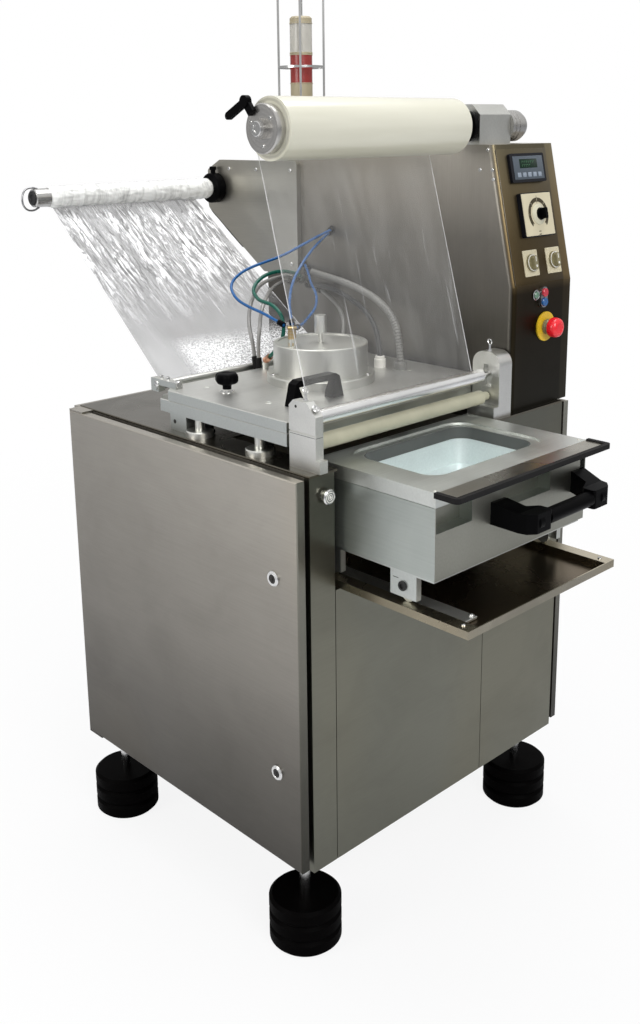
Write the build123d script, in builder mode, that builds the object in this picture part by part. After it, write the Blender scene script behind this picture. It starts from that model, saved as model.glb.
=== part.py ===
"""Semi-automatic tray sealer: cabinet on rubber feet, pull-out mould drawer, sealing head,
film rollers, control column with the film reel, rewinder, signal tower and air hoses.

Millimetres. Origin: floor level, centre of the cabinet's plan. +X is the operator's right,
+Y points to the back of the machine, +Z is up.
"""
from math import acos, atan2, cos, degrees, radians, sin, sqrt
import os

from build123d import *

os.makedirs("parts", exist_ok=True)

# Clearances
running_gap = 0.3
side_gap = 5.5

# Cabinet
cabinet_width = 728
cabinet_depth = 700
cabinet_height = 750
panel_thickness = 12
worktop_thickness = 4
post_width = 58
panel_seam = 1.5
cover_stand_off = 10
cover_thickness = 18
cover_edge_gap = 2
cover_bottom_gap = 10
cover_top_gap = 5
sheet_edge_radius = 3
door_skin = 2
door_lip = 22
seal_width = 20
hinge_pin_diameter = 8
hinge_pin_length = 8
hinge_inset = 8
hinge_leaf_thickness = 3
hinge_leaf_length = 40
lock_diameter = 28
lock_rise = 4
lock_slot_width = 3
lock_slot_height = 12
lock_inset = 62
lock_end_distance = 189
knob_diameter = 27
knob_neck_diameter = 18
knob_neck_length = 5
knob_length = 13
knob_inset = 36
knob_drop = 41

# Feet
foot_diameter = 139
foot_layer_height = 32
foot_layers = 3
foot_edge_radius = 6
foot_stem_diameter = 21
foot_stem_length = 106
foot_inset = 50
foot_front = 80
foot_back = 20

# Drawer with the tray mould
drawer_inset = 71
drawer_body_height = 123
mould_plate_height = 26
drawer_reach = 212
drawer_tail = 62
drawer_travel = 207
drawer_rise = 5
underframe_height = 6
pocket_depth = 26
pocket_floor_height = 80
pocket_wall = 2
left_pocket_width = 92
middle_pocket_start = 170
middle_pocket_width = 140
right_pocket_width = 17
mould_seam = 1
mould_centre = 148
mould_recess_border = 16
mould_recess_radius = 48
mould_recess_drop = 3
mould_opening_width = 288
mould_opening_depth = 182
mould_opening_radius = 36
gasket_thickness = 2.5
gasket_height = 22
insert_clearance = 2
insert_sheet = 2
insert_height = 50
insert_taper = 7
rim_depth = 43
rim_thickness = 4
edging_width = 6
edging_height = 9
handle_start = 141
handle_span = 270
handle_reach = 73
handle_foot_width = 36
handle_foot_height = 39
handle_elbow = 72
handle_arm_depth = 25
handle_arm_height = 34
handle_arm_drop = 9
handle_bar_diameter = 27
handle_rise = 80
guide_thickness = 12
guide_length = 57
guide_inset = 6
guide_front = 43
guide_lift = 12
wheel_diameter = 28
wheel_width = 5

# Runner tray below the drawer
tray_drop = 61
tray_height = 14
tray_reach = 283
tray_sheet = 2
tray_rail_width = 25

# Sealing head
head_inset = 20
head_column_gap = 23
head_front = 76
head_depth = 361
head_lower_thickness = 24
head_upper_thickness = 20
head_edge_break = 1.5
head_corner_cut = 24
head_gap = 32
head_lower_tail = 26
stud_inset = 10
stud_first = 159
stud_pitch = 171
stud_diameter = 18
stud_disc_diameter = 52
stud_disc_height = 12
foot_block_width = 25
foot_block_depth = 50
foot_block_setback = 26
housing_offset_x = 6
housing_offset_y = 12.5
housing_diameter = 186
housing_height = 77
flange_diameter = 213
flange_height = 17
housing_lip = 9
fitting_diameter = 23
fitting_height = 34
fitting_neck = 20
star_knob_diameter = 46
star_knob_height = 21
star_knob_stem = 16
head_handle_length = 130
head_handle_height = 46
head_handle_width = 20
head_handle_strap = 12

# Film rollers
roller_inset = 37
upper_roller_rise = 85
lower_roller_rise = 41
upper_roller_diameter = 26
lower_roller_diameter = 28
journal_diameter = 10
lower_journal_diameter = 17
left_bracket_width = 18
left_bracket_depth = 65
left_bracket_height = 118
left_bracket_front_cut = 22
left_bracket_back_cut = 10
bracket_step_height = 22
left_bracket_step = 10
right_bracket_width = 40
right_bracket_setback = 8
right_bracket_depth = 66
right_bracket_height = 129
right_bracket_radius = 26
right_bracket_step = 15
bracket_slot_width = 20
bracket_slot_above = 19
bracket_slot_below = 26
bracket_slot_depth = 12
bracket_gap = 22
guide_rod_diameter = 16
guide_rod_reach = 36
guide_rod_drop = 4
guide_arm_inset = 14
guide_arm_width = 16
guide_arm_thickness = 12
guide_arm_front = 31
guide_arm_tail = 14

# Control column
column_width = 197
column_overhang = 34
column_setback = 13
column_tail = 40
column_height = 525
column_bend_height = 252
column_slant = 60
column_edge_radius = 4
column_front_radius = 12
cable_slot_length = 80
cable_slot_height = 12

# Controls on the column
display_width = 113
display_height = 57
dial_plate_width = 100
dial_plate_height = 88
switch_plate_width = 47
switch_plate_height = 52
timer_rise = 11
dial_face_inset = 2
dial_face_thickness = 1
dial_knob_diameter = 24
dial_skirt_height = 8
dial_grip_length = 22
dial_grip_width = 8
dial_grip_height = 12
switch_diameter = 34
switch_skirt_height = 5
switch_grip_length = 28
switch_grip_width = 12
switch_grip_height = 8
button_diameter = 17
button_pitch = 19
button_travel = 3
bezel_width = 22
bezel_height = 42
bezel_rise = 3
lamp_diameter = 14
estop_disc_diameter = 60
estop_collar_diameter = 28
estop_collar_rise = 14
estop_stem_diameter = 16
estop_button_diameter = 40
estop_travel = 5
estop_reach = 38

# Film reel
reel_setback = 115
reel_rise = 35
roll_diameter = 105
roll_overhang = 15
reel_disc_diameter = 82
reel_disc_width = 18
reel_hub_diameter = 34
reel_hub_length = 10
reel_shaft_diameter = 24
reel_collar_diameter = 60
reel_block_width = 99
reel_block_depth = 46
reel_block_height = 77
reel_block_cut = 20
brake_knob_diameter = 62
brake_knob_length = 58
brake_groove_depth = 2
brake_groove_width = 3
brake_end_diameter = 36

# Rewinder
rewind_reach = 210
rewind_drop = 107
rewind_plate_thickness = 12
rewind_collar_diameter = 72
rewind_collar_width = 24
rewind_shaft_diameter = 40
rewind_pin_diameter = 12
rewind_pin_top = 52

# Signal tower
tower_inset = 60
tower_back = 64
tower_diameter = 51
tower_base_height = 134
tower_lens_height = 66
tower_band_height = 4
tower_cap_height = 13
guard_diameter = 104
guard_rod = 5
guard_height = 345
guard_ring_height = 174

# Film
film_inset = 32
film_thickness = 1
film_gap = 0.5

# Hoses
blue_hose_diameter = 6
green_hose_diameter = 8
clear_hose_diameter = 8
dark_hose_diameter = 11
grey_hose_diameter = 8
corrugated_hose_diameter = 15
bend_share = 0.45

# Places worked out from the sizes above
left = -cabinet_width / 2
right = cabinet_width / 2
front = -cabinet_depth / 2
back = cabinet_depth / 2
foot_top = foot_layer_height * foot_layers
cabinet_bottom = foot_top + foot_stem_length
worktop = cabinet_bottom + cabinet_height
core_top = worktop - worktop_thickness

column_x1 = right + column_overhang
column_x0 = column_x1 - column_width
column_y0 = front + column_setback
column_y1 = back + column_tail
column_top = worktop + column_height
column_bend = worktop + column_bend_height

head_x0 = left + head_inset
head_x1 = column_x0 - head_column_gap
head_y0 = front + head_front
head_y1 = head_y0 + head_depth
head_x = (head_x0 + head_x1) / 2
head_y = (head_y0 + head_y1) / 2
head_bottom = worktop + head_gap
head_middle = head_bottom + head_lower_thickness
head_top = head_middle + head_upper_thickness

drawer_x0 = left + drawer_inset
drawer_x1 = head_x1 - (drawer_inset - head_inset)
drawer_x = (drawer_x0 + drawer_x1) / 2
drawer_front = front - drawer_reach
drawer_back = front + drawer_tail
drawer_top = worktop + drawer_rise
mould_bottom = drawer_top - mould_plate_height
drawer_bottom = mould_bottom - drawer_body_height

tray_top = drawer_bottom - tray_drop
tray_bottom = tray_top - tray_height
bay_x0 = drawer_x0 - side_gap
bay_x1 = drawer_x1 + side_gap
bay_back = drawer_back + drawer_travel + 2 * side_gap
strip_left = bay_x1 - post_width / 3


def save(part, name):
    part.part.label = name
    export_step(part.part, f"parts/{name}.step")


def block(x0, x1, y0, y1, z0, z1, mode=Mode.ADD):
    """A box between two corners, in the part that is being built."""
    with Locations(((x0 + x1) / 2, (y0 + y1) / 2, (z0 + z1) / 2)):
        Box(x1 - x0, y1 - y0, z1 - z0, mode=mode)


def rod_x(x0, x1, y, z, diameter, mode=Mode.ADD):
    """A cylinder along X."""
    with Locations(Location(((x0 + x1) / 2, y, z), (0, 90, 0))):
        Cylinder(diameter / 2, x1 - x0, mode=mode)


def rod_y(x, y0, y1, z, diameter, mode=Mode.ADD):
    """A cylinder along Y."""
    with Locations(Location((x, (y0 + y1) / 2, z), (90, 0, 0))):
        Cylinder(diameter / 2, y1 - y0, mode=mode)


def rod_z(x, y, z0, z1, diameter, mode=Mode.ADD):
    """A cylinder along Z."""
    with Locations((x, y, (z0 + z1) / 2)):
        Cylinder(diameter / 2, z1 - z0, mode=mode)


with BuildPart() as worktop_sheet:
    block(left, right, front, back, core_top, worktop)
    block(bay_x0, bay_x1, front - 1, bay_back, core_top - 1, worktop + 1, mode=Mode.SUBTRACT)
    fillet(worktop_sheet.edges().group_by(Axis.Z)[-1].sort_by(Axis.X)[0], worktop_thickness / 2)
save(worktop_sheet, "worktop_sheet")

with BuildPart() as front_panels:
    block(left, left + post_width, front, front + panel_thickness, cabinet_bottom, core_top)
    block(
        left + post_width + panel_seam,
        strip_left - panel_seam,
        front,
        front + panel_thickness,
        cabinet_bottom,
        tray_bottom,
    )
    block(strip_left, right, front, front + panel_thickness, cabinet_bottom, core_top)
    block(
        strip_left,
        bay_x1,
        front - 1,
        front + panel_thickness + 1,
        tray_bottom,
        worktop,
        mode=Mode.SUBTRACT,
    )
save(front_panels, "front_panels")

# Covers stand proud of the housing on black seals
cover_z0 = cabinet_bottom + cover_bottom_gap
cover_z1 = worktop - cover_top_gap
cover_y0 = front + cover_edge_gap
cover_y1 = back - cover_edge_gap
door_x1 = left - cover_stand_off
door_x0 = door_x1 - cover_thickness
seal_inset = 2 * seal_width
seal_z0 = cover_z0 + seal_width / 2
seal_z1 = cover_z1 - seal_width / 2


def seal_frame(plane, width, height, depth):
    """A rectangular ring of rubber strip, raised from the plane by its depth."""
    with BuildSketch(plane) as ring:
        Rectangle(width, height)
        Rectangle(width - 2 * seal_width, height - 2 * seal_width, mode=Mode.SUBTRACT)
    extrude(ring.sketch, amount=depth)


seal_z = (seal_z0 + seal_z1) / 2
seal_height = seal_z1 - seal_z0
seal_run = cabinet_depth - 2 * seal_inset
left_seal_plane = Plane(origin=(left, 0, seal_z), x_dir=(0, -1, 0), z_dir=(-1, 0, 0))
right_seal_plane = Plane(origin=(right, 0, seal_z), x_dir=(0, 1, 0), z_dir=(1, 0, 0))
rear_seal_plane = Plane(origin=(0, back, seal_z), x_dir=(-1, 0, 0), z_dir=(0, 1, 0))
with BuildPart() as cover_seals:
    seal_frame(left_seal_plane, seal_run, seal_height, cover_stand_off - running_gap)
    seal_frame(right_seal_plane, seal_run, seal_height, cover_stand_off)
    seal_frame(rear_seal_plane, cabinet_width - 2 * seal_inset, seal_height, cover_stand_off)
save(cover_seals, "cover_seals")

# Side door: a folded pan, open to the housing, on two pivot pins at its rear edge
hinge_x = door_x0 + cover_thickness / 2
hinge_y = cover_y1 - hinge_inset
with BuildPart() as left_door:
    block(door_x0, door_x1, cover_y0, cover_y1, cover_z0, cover_z1)
    fillet(left_door.edges().group_by(Axis.X)[0], sheet_edge_radius)
    block(
        door_x0 + door_skin,
        door_x1 - door_skin,
        cover_y0 + door_skin,
        cover_y1 - 2 * hinge_inset,
        cover_z0 + door_skin,
        cover_z1 - door_skin,
        mode=Mode.SUBTRACT,
    )
    block(
        door_x1 - 2 * door_skin,
        door_x1 + 1,
        cover_y0 + door_lip,
        cover_y1 - door_lip,
        cover_z0 + door_lip,
        cover_z1 - door_lip,
        mode=Mode.SUBTRACT,
    )
    rod_z(hinge_x, hinge_y, cover_z0 - hinge_pin_length, cover_z0, hinge_pin_diameter)
    rod_z(hinge_x, hinge_y, cover_z1, cover_z1 + hinge_leaf_thickness, hinge_pin_diameter)
save(left_door, "left_door")

# Cabinet housing: the bay of the drawer is open at the front and the top, and the leaves
# that carry the side door stand out above and below it
leaf_levels = (cover_z0 - running_gap - hinge_leaf_thickness, cover_z1 + running_gap)
with BuildPart() as cabinet_body:
    block(left, right, front + panel_thickness, back, cabinet_bottom, core_top)
    block(bay_x0, bay_x1, front, bay_back, tray_bottom, worktop, mode=Mode.SUBTRACT)
    for z0 in leaf_levels:
        z1 = z0 + hinge_leaf_thickness
        block(door_x0 + 1, left, hinge_y - hinge_leaf_length, cover_y1, z0, z1)
        bore = hinge_pin_diameter + 2 * running_gap
        rod_z(hinge_x, hinge_y, z0 - 1, z1 + 1, bore, mode=Mode.SUBTRACT)
save(cabinet_body, "cabinet_body")

cover_outer = right + cover_stand_off + cover_thickness
rear_outer = back + cover_stand_off + cover_thickness
with BuildPart() as fixed_covers:
    block(right + cover_stand_off, cover_outer, cover_y0, cover_y1, cover_z0, cover_z1)
    fillet(fixed_covers.edges().group_by(Axis.X)[-1], sheet_edge_radius)
    block(
        left + cover_edge_gap,
        right - cover_edge_gap,
        back + cover_stand_off,
        rear_outer,
        cover_z0,
        cover_z1,
    )
    fillet(fixed_covers.edges().group_by(Axis.Y)[-1], sheet_edge_radius)
save(fixed_covers, "fixed_covers")

lock_y = front + lock_inset
lock_face = door_x0 - lock_rise
with BuildPart() as door_locks:
    for z in (cabinet_bottom + lock_end_distance, worktop - lock_end_distance):
        rod_x(lock_face, door_x0, lock_y, z, lock_diameter)
    chamfer(door_locks.edges().filter_by(GeomType.CIRCLE).group_by(Axis.X)[0], lock_rise / 3)
    for z in (cabinet_bottom + lock_end_distance, worktop - lock_end_distance):
        with Locations((lock_face, lock_y, z)):
            Box(lock_rise, lock_slot_width, lock_slot_height, mode=Mode.SUBTRACT)
save(door_locks, "door_locks")

# Chrome knob on the front post
knob_origin = (left + knob_inset, front, worktop - knob_drop)
knob_r = knob_diameter / 2
knob_neck = knob_neck_diameter / 2
knob_edge = 2
with BuildPart() as post_knob:
    with BuildSketch(Plane(origin=knob_origin, x_dir=(1, 0, 0), z_dir=(0, 0, 1))) as knob_outline:
        with BuildLine():
            Polyline(
                (0, 0),
                (knob_neck, 0),
                (knob_neck, -knob_neck_length),
                (knob_r, -knob_neck_length - knob_edge),
                (knob_r, -knob_length + knob_edge),
                (knob_r - knob_edge, -knob_length),
                (0, -knob_length),
                close=True,
            )
        make_face()
    revolve(knob_outline.sketch, Axis(knob_origin, (0, 1, 0)))
save(post_knob, "post_knob")

# Feet: stem and stacked rubber pucks with rounded rims
foot_places = [
    (x, y)
    for x in (left + foot_inset, column_x1 - foot_inset)
    for y in (front + foot_front, back - foot_back)
]
with BuildPart() as foot_stems:
    for x, y in foot_places:
        rod_z(x, y, foot_top, cabinet_bottom, foot_stem_diameter)
save(foot_stems, "foot_stems")

foot_radius = foot_diameter / 2
foot_groove = foot_radius - foot_edge_radius
foot_profile = [(0, 0)]
for i in range(foot_layers):
    z0 = i * foot_layer_height
    z1 = z0 + foot_layer_height
    foot_profile += [(foot_groove, z0), (foot_radius, z0 + foot_edge_radius)]
    foot_profile += [(foot_radius, z1 - foot_edge_radius), (foot_groove, z1)]
foot_profile.append((0, foot_top))
foot_profile = [p for i, p in enumerate(foot_profile) if p not in foot_profile[:i]]
with BuildPart() as rubber_feet:
    for x, y in foot_places:
        with BuildSketch(Plane(origin=(x, y, 0), x_dir=(1, 0, 0), z_dir=(0, -1, 0))) as foot_outline:
            with BuildLine():
                Polyline(*foot_profile, close=True)
            make_face()
        revolve(foot_outline.sketch, Axis((x, y, 0), (0, 0, 1)))
save(rubber_feet, "rubber_feet")

# Drawer: box with front pockets, mould plate with its opening, lining ring and tray mould
mould_y = drawer_front + mould_centre
opening_size = (mould_opening_width, mould_opening_depth, mould_opening_radius)


def mould_outline(z, width, depth, radius):
    """A rounded rectangle centred on the mould, facing down."""
    face_down = Plane(origin=(drawer_x, mould_y, z), x_dir=(1, 0, 0), z_dir=(0, 0, -1))
    with BuildSketch(face_down) as outline:
        RectangleRounded(width, depth, radius)
    return outline.sketch


def shrunk(size, inset):
    """The width, depth and corner radius of an outline set in by the same distance all round."""
    return (size[0] - 2 * inset, size[1] - 2 * inset, size[2] - inset)


insert_size = shrunk(opening_size, insert_clearance)
insert_hollow = shrunk(insert_size, insert_sheet)
pocket_z0 = drawer_bottom + pocket_floor_height
pocket_back = drawer_front + pocket_depth
drawer_pockets = (
    (drawer_x0 + pocket_wall, drawer_x0 + left_pocket_width),
    (drawer_x0 + middle_pocket_start, drawer_x0 + middle_pocket_start + middle_pocket_width),
    (drawer_x1 - right_pocket_width, drawer_x1 - pocket_wall),
)
with BuildPart() as drawer_box:
    block(drawer_x0, drawer_x1, drawer_front, drawer_back, drawer_bottom, mould_bottom)
    for x0, x1 in drawer_pockets:
        block(x0, x1, drawer_front - 1, pocket_back, pocket_z0, mould_bottom + 1, Mode.SUBTRACT)
    well = mould_outline(mould_bottom, *shrunk(insert_size, -running_gap))
    extrude(well, amount=insert_height, taper=insert_taper, mode=Mode.SUBTRACT)
save(drawer_box, "drawer_box")

with BuildPart() as mould_insert:
    bowl = mould_outline(mould_bottom, *insert_size)
    extrude(bowl, amount=insert_height, taper=insert_taper)
    hollow = mould_outline(mould_bottom, *insert_hollow)
    extrude(hollow, amount=insert_height - insert_sheet, taper=insert_taper, mode=Mode.SUBTRACT)
save(mould_insert, "mould_insert")

with BuildPart() as mould_plate:
    block(drawer_x0, drawer_x1, drawer_front, drawer_back, mould_bottom, drawer_top)
    chamfer(mould_plate.edges().group_by(Axis.Z)[0], mould_seam)
    recess_size = (
        mould_opening_width + 2 * mould_recess_border,
        mould_opening_depth + 2 * mould_recess_border,
        mould_recess_radius,
    )
    extrude(mould_outline(drawer_top, *recess_size), amount=mould_recess_drop, mode=Mode.SUBTRACT)
    extrude(mould_outline(drawer_top, *opening_size), amount=mould_plate_height, mode=Mode.SUBTRACT)
save(mould_plate, "mould_plate")

gasket_top = mould_bottom + gasket_height
with BuildPart() as mould_gasket:
    extrude(mould_outline(gasket_top, *opening_size), amount=gasket_height)
    inner = mould_outline(gasket_top, *shrunk(opening_size, gasket_thickness))
    extrude(inner, amount=gasket_height, mode=Mode.SUBTRACT)
save(mould_gasket, "mould_gasket")

rim_front = drawer_front - rim_depth
with BuildPart() as rim_strip:
    block(drawer_x0, drawer_x1, rim_front, drawer_front, drawer_top - rim_thickness, drawer_top)
save(rim_strip, "rim_strip")

edging_z0 = drawer_top - rim_thickness / 2 - edging_height / 2
edging_z1 = edging_z0 + edging_height
edging_lap = edging_width / 2
with BuildPart() as rim_edging:
    block(
        drawer_x0 - edging_width,
        drawer_x1 + edging_width,
        rim_front - edging_width,
        drawer_front - 1,
        edging_z0,
        edging_z1,
    )
    fillet(rim_edging.edges().filter_by(Axis.Z).group_by(Axis.Y)[0], 1.5 * edging_width)
    block(
        drawer_x0 + edging_lap,
        drawer_x1 - edging_lap,
        rim_front + edging_lap,
        drawer_front,
        edging_z0 - 1,
        edging_z1 + 1,
        mode=Mode.SUBTRACT,
    )
    add(rim_strip.part, mode=Mode.SUBTRACT)
save(rim_edging, "rim_edging")

# Pull handle: two bent elbows, narrower and lower towards the round bar between them
handle_x0 = drawer_x0 + handle_start
handle_x1 = handle_x0 + handle_span
handle_z = drawer_bottom + handle_rise
bar_z = handle_z - handle_arm_drop
bar_y = drawer_front - handle_reach + handle_arm_depth / 2
elbow_back = handle_reach - handle_arm_depth
elbow_points = (
    (0, 0),
    (handle_foot_width, 0),
    (handle_foot_width + 10, elbow_back - 10),
    (handle_elbow, elbow_back),
    (handle_elbow, handle_reach),
    (handle_foot_width - 6, handle_reach),
    (handle_foot_width - 20, handle_reach - 11),
)
elbow_softening = 5
foot_z0 = handle_z - handle_foot_height / 2
foot_z1 = handle_z + handle_foot_height / 2
arm_z0 = bar_z - handle_arm_height / 2
arm_z1 = bar_z + handle_arm_height / 2
handle_side = (
    (drawer_front, foot_z0),
    (drawer_front, foot_z1),
    (drawer_front - 6, foot_z1),
    (drawer_front - elbow_back, arm_z1),
    (drawer_front - handle_reach, arm_z1),
    (drawer_front - handle_reach, arm_z0),
    (drawer_front - elbow_back, arm_z0),
)
with BuildPart() as drawer_handle:
    for outer, inward in ((handle_x0, 1), (handle_x1, -1)):
        with BuildSketch(Plane.XY.offset(arm_z0)) as elbow:
            with BuildLine():
                Polyline(*[(outer + inward * u, drawer_front - v) for u, v in elbow_points], close=True)
            make_face()
            fillet(elbow.vertices().sort_by(Axis.Y)[:-2], elbow_softening)
        extrude(elbow.sketch, amount=foot_z1 - arm_z0)
    with BuildSketch(Plane.YZ.offset(handle_x0)) as side_view:
        with BuildLine():
            Polyline(*handle_side, close=True)
        make_face()
    extrude(side_view.sketch, amount=handle_span, mode=Mode.INTERSECT)
    rod_x(handle_x0 + handle_elbow, handle_x1 - handle_elbow, bar_y, bar_z, handle_bar_diameter)
save(drawer_handle, "drawer_handle")

# Frame under the drawer with two pairs of guide brackets, whose wheels run on the tray's rails
wheel_z = tray_top + running_gap + wheel_diameter / 2
frame_x0 = drawer_x0 + guide_inset
frame_x1 = drawer_x1 - guide_inset
frame_bottom = drawer_bottom - underframe_height
with BuildPart() as drawer_guides:
    block(frame_x0, frame_x1, drawer_front + guide_inset, drawer_back, frame_bottom, drawer_bottom)
    for y0 in (drawer_front + guide_front, drawer_back - guide_length):
        for outer, inward in ((frame_x0, 1), (frame_x1, -1)):
            inner = outer + inward * guide_thickness
            x0, x1 = sorted((outer, inner))
            block(x0, x1, y0, y0 + guide_length, tray_top + guide_lift, drawer_bottom)
            x0, x1 = sorted((inner, inner + inward * wheel_width))
            rod_x(x0, x1, y0 + guide_length / 2, wheel_z, wheel_diameter)
save(drawer_guides, "drawer_guides")

tray_x0 = drawer_x0 - 1
tray_x1 = drawer_x1 - 3
tray_y0 = front - tray_reach
half_sheet = tray_sheet / 2
with BuildPart() as runner_tray:
    with BuildSketch(Plane(origin=(0, tray_y0, 0), x_dir=(1, 0, 0), z_dir=(0, -1, 0))) as tray_section:
        with BuildLine() as tray_folds:
            Polyline(
                (tray_x0 + half_sheet, tray_bottom),
                (tray_x0 + half_sheet, tray_top - half_sheet),
                (tray_x0 + tray_rail_width, tray_top - half_sheet),
                (tray_x0 + tray_rail_width, tray_bottom + half_sheet),
                (tray_x1 - tray_rail_width, tray_bottom + half_sheet),
                (tray_x1 - tray_rail_width, tray_top - half_sheet),
                (tray_x1 - half_sheet, tray_top - half_sheet),
                (tray_x1 - half_sheet, tray_bottom),
            )
        trace(tray_folds.line, line_width=tray_sheet)
    extrude(tray_section.sketch, amount=tray_y0 - bay_back)
    block(tray_x0, tray_x1, tray_y0, tray_y0 + tray_sheet, tray_bottom, tray_top)
save(runner_tray, "runner_tray")


# Sealing head: two plates on studs, heater housing with its fittings, star knob and handle
plates = (
    ("head_lower_plate", head_y1 + head_lower_tail, head_bottom, head_middle),
    ("head_upper_plate", head_y1, head_middle, head_top),
)
for name, y1, z0, z1 in plates:
    with BuildPart() as head_plate:
        block(head_x0, head_x1, head_y0, y1, z0, z1)
        corners = head_plate.edges().filter_by(Axis.Z).sort_by(Axis((0, 0, 0), (-1, 1, 0)))
        chamfer(corners[-1], head_corner_cut)
        chamfer(head_plate.edges().group_by(Axis.Z)[-1], head_edge_break)
    save(head_plate, name)

stud_places = [
    (x, front + stud_first + i * stud_pitch)
    for x in (head_x0 + stud_inset, head_x1 - stud_inset)
    for i in range(2)
]
with BuildPart() as head_studs:
    for x, y in stud_places:
        rod_z(x, y, worktop, worktop + stud_disc_height, stud_disc_diameter)
    chamfer(head_studs.edges().group_by(Axis.Z)[-1], 2)
    for x, y in stud_places:
        rod_z(x, y, worktop + stud_disc_height, head_bottom, stud_diameter)
save(head_studs, "head_studs")

housing_r = housing_diameter / 2
flange_r = flange_diameter / 2
housing_x = head_x + housing_offset_x
housing_y = head_y + housing_offset_y
housing_top = head_top + housing_height
lip_step = 2
with BuildPart() as heater_housing:
    housing_plane = Plane(origin=(housing_x, housing_y, head_top), x_dir=(1, 0, 0), z_dir=(0, -1, 0))
    with BuildSketch(housing_plane) as housing_outline:
        with BuildLine():
            Polyline(
                (0, 0),
                (flange_r, 0),
                (flange_r, flange_height - lip_step),
                (flange_r - lip_step, flange_height),
                (housing_r, flange_height),
                (housing_r, housing_height - lip_step),
                (housing_r - lip_step, housing_height),
                (housing_r - housing_lip, housing_height),
                (housing_r - housing_lip, housing_height - lip_step),
                (0, housing_height - lip_step),
                close=True,
            )
        make_face()
    revolve(housing_outline.sketch, Axis((housing_x, housing_y, 0), (0, 0, 1)))
save(heater_housing, "heater_housing")

# Air and cable fittings on the head: place, then each step's height above its seat and diameter
riser_place = (housing_x - 69, housing_y + 7)
small_place = (head_x + 170, head_y + 6)
socket_place = (head_x + 184, head_y - 38)
elbow_place = (head_x, head_y1 - 8)
housing_seat = housing_top - lip_step
neck_top = fitting_neck + fitting_height
fitting_steps = (
    ((housing_x, housing_y), housing_seat, ((fitting_neck, 8), (neck_top, fitting_diameter))),
    (riser_place, housing_seat, ((14, 16), (36, 11))),
    (small_place, head_top, ((8, 18), (24, 13))),
    (socket_place, head_top, ((12, 26),)),
    (elbow_place, head_top, ((15, 14),)),
)
with BuildPart() as head_fittings:
    for place, seat, steps in fitting_steps:
        z0 = seat
        for rise, diameter in steps:
            rod_z(*place, z0, seat + rise, diameter)
            z0 = seat + rise
save(head_fittings, "head_fittings")

star_x = head_x0 + 70
star_y = front + 320
star_r = star_knob_diameter / 2
star_foot_r = 6
lobe_r = 9
star_z0 = head_top + star_knob_stem
with BuildPart() as star_knob:
    with Locations((star_x, star_y, (head_top + running_gap + star_z0) / 2)):
        Cone(star_foot_r, star_r / 2, star_knob_stem - running_gap)
    with BuildSketch(Plane.XY.offset(star_z0)) as star_outline:
        with Locations((star_x, star_y)):
            Circle(star_r)
            with PolarLocations(star_r + 2 * lobe_r / 3, 5):
                Circle(lobe_r, mode=Mode.SUBTRACT)
    extrude(star_outline.sketch, amount=star_knob_height)
    chamfer(star_knob.edges().group_by(Axis.Z)[-1], 2)
save(star_knob, "star_knob")

bridge_x0 = head_x0 + 72
bridge_y = front + 150
bridge_profile = (
    (0, 0),
    (30, 0),
    (30, 8),
    (head_handle_strap + 6, head_handle_height - head_handle_strap),
    (head_handle_length / 2, head_handle_height - head_handle_strap + 1),
)
with BuildPart() as head_handle:
    bridge_origin = (bridge_x0, bridge_y + head_handle_width / 2, head_top)
    with BuildSketch(Plane(origin=bridge_origin, x_dir=(1, 0, 0), z_dir=(0, -1, 0))) as bridge:
        with BuildLine():
            inner = list(bridge_profile)
            far = [(head_handle_length - x, z) for x, z in reversed(inner[:-1])]
            Polyline(
                *inner,
                *far,
                (head_handle_length - 10, head_handle_height - 6),
                (head_handle_length - 20, head_handle_height),
                (20, head_handle_height),
                (10, head_handle_height - 6),
                close=True,
            )
        make_face()
    extrude(bridge.sketch, amount=head_handle_width)
    fillet(head_handle.edges().filter_by(Axis.Y).group_by(Axis.Z)[-1], 5)
save(head_handle, "head_handle")

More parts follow.
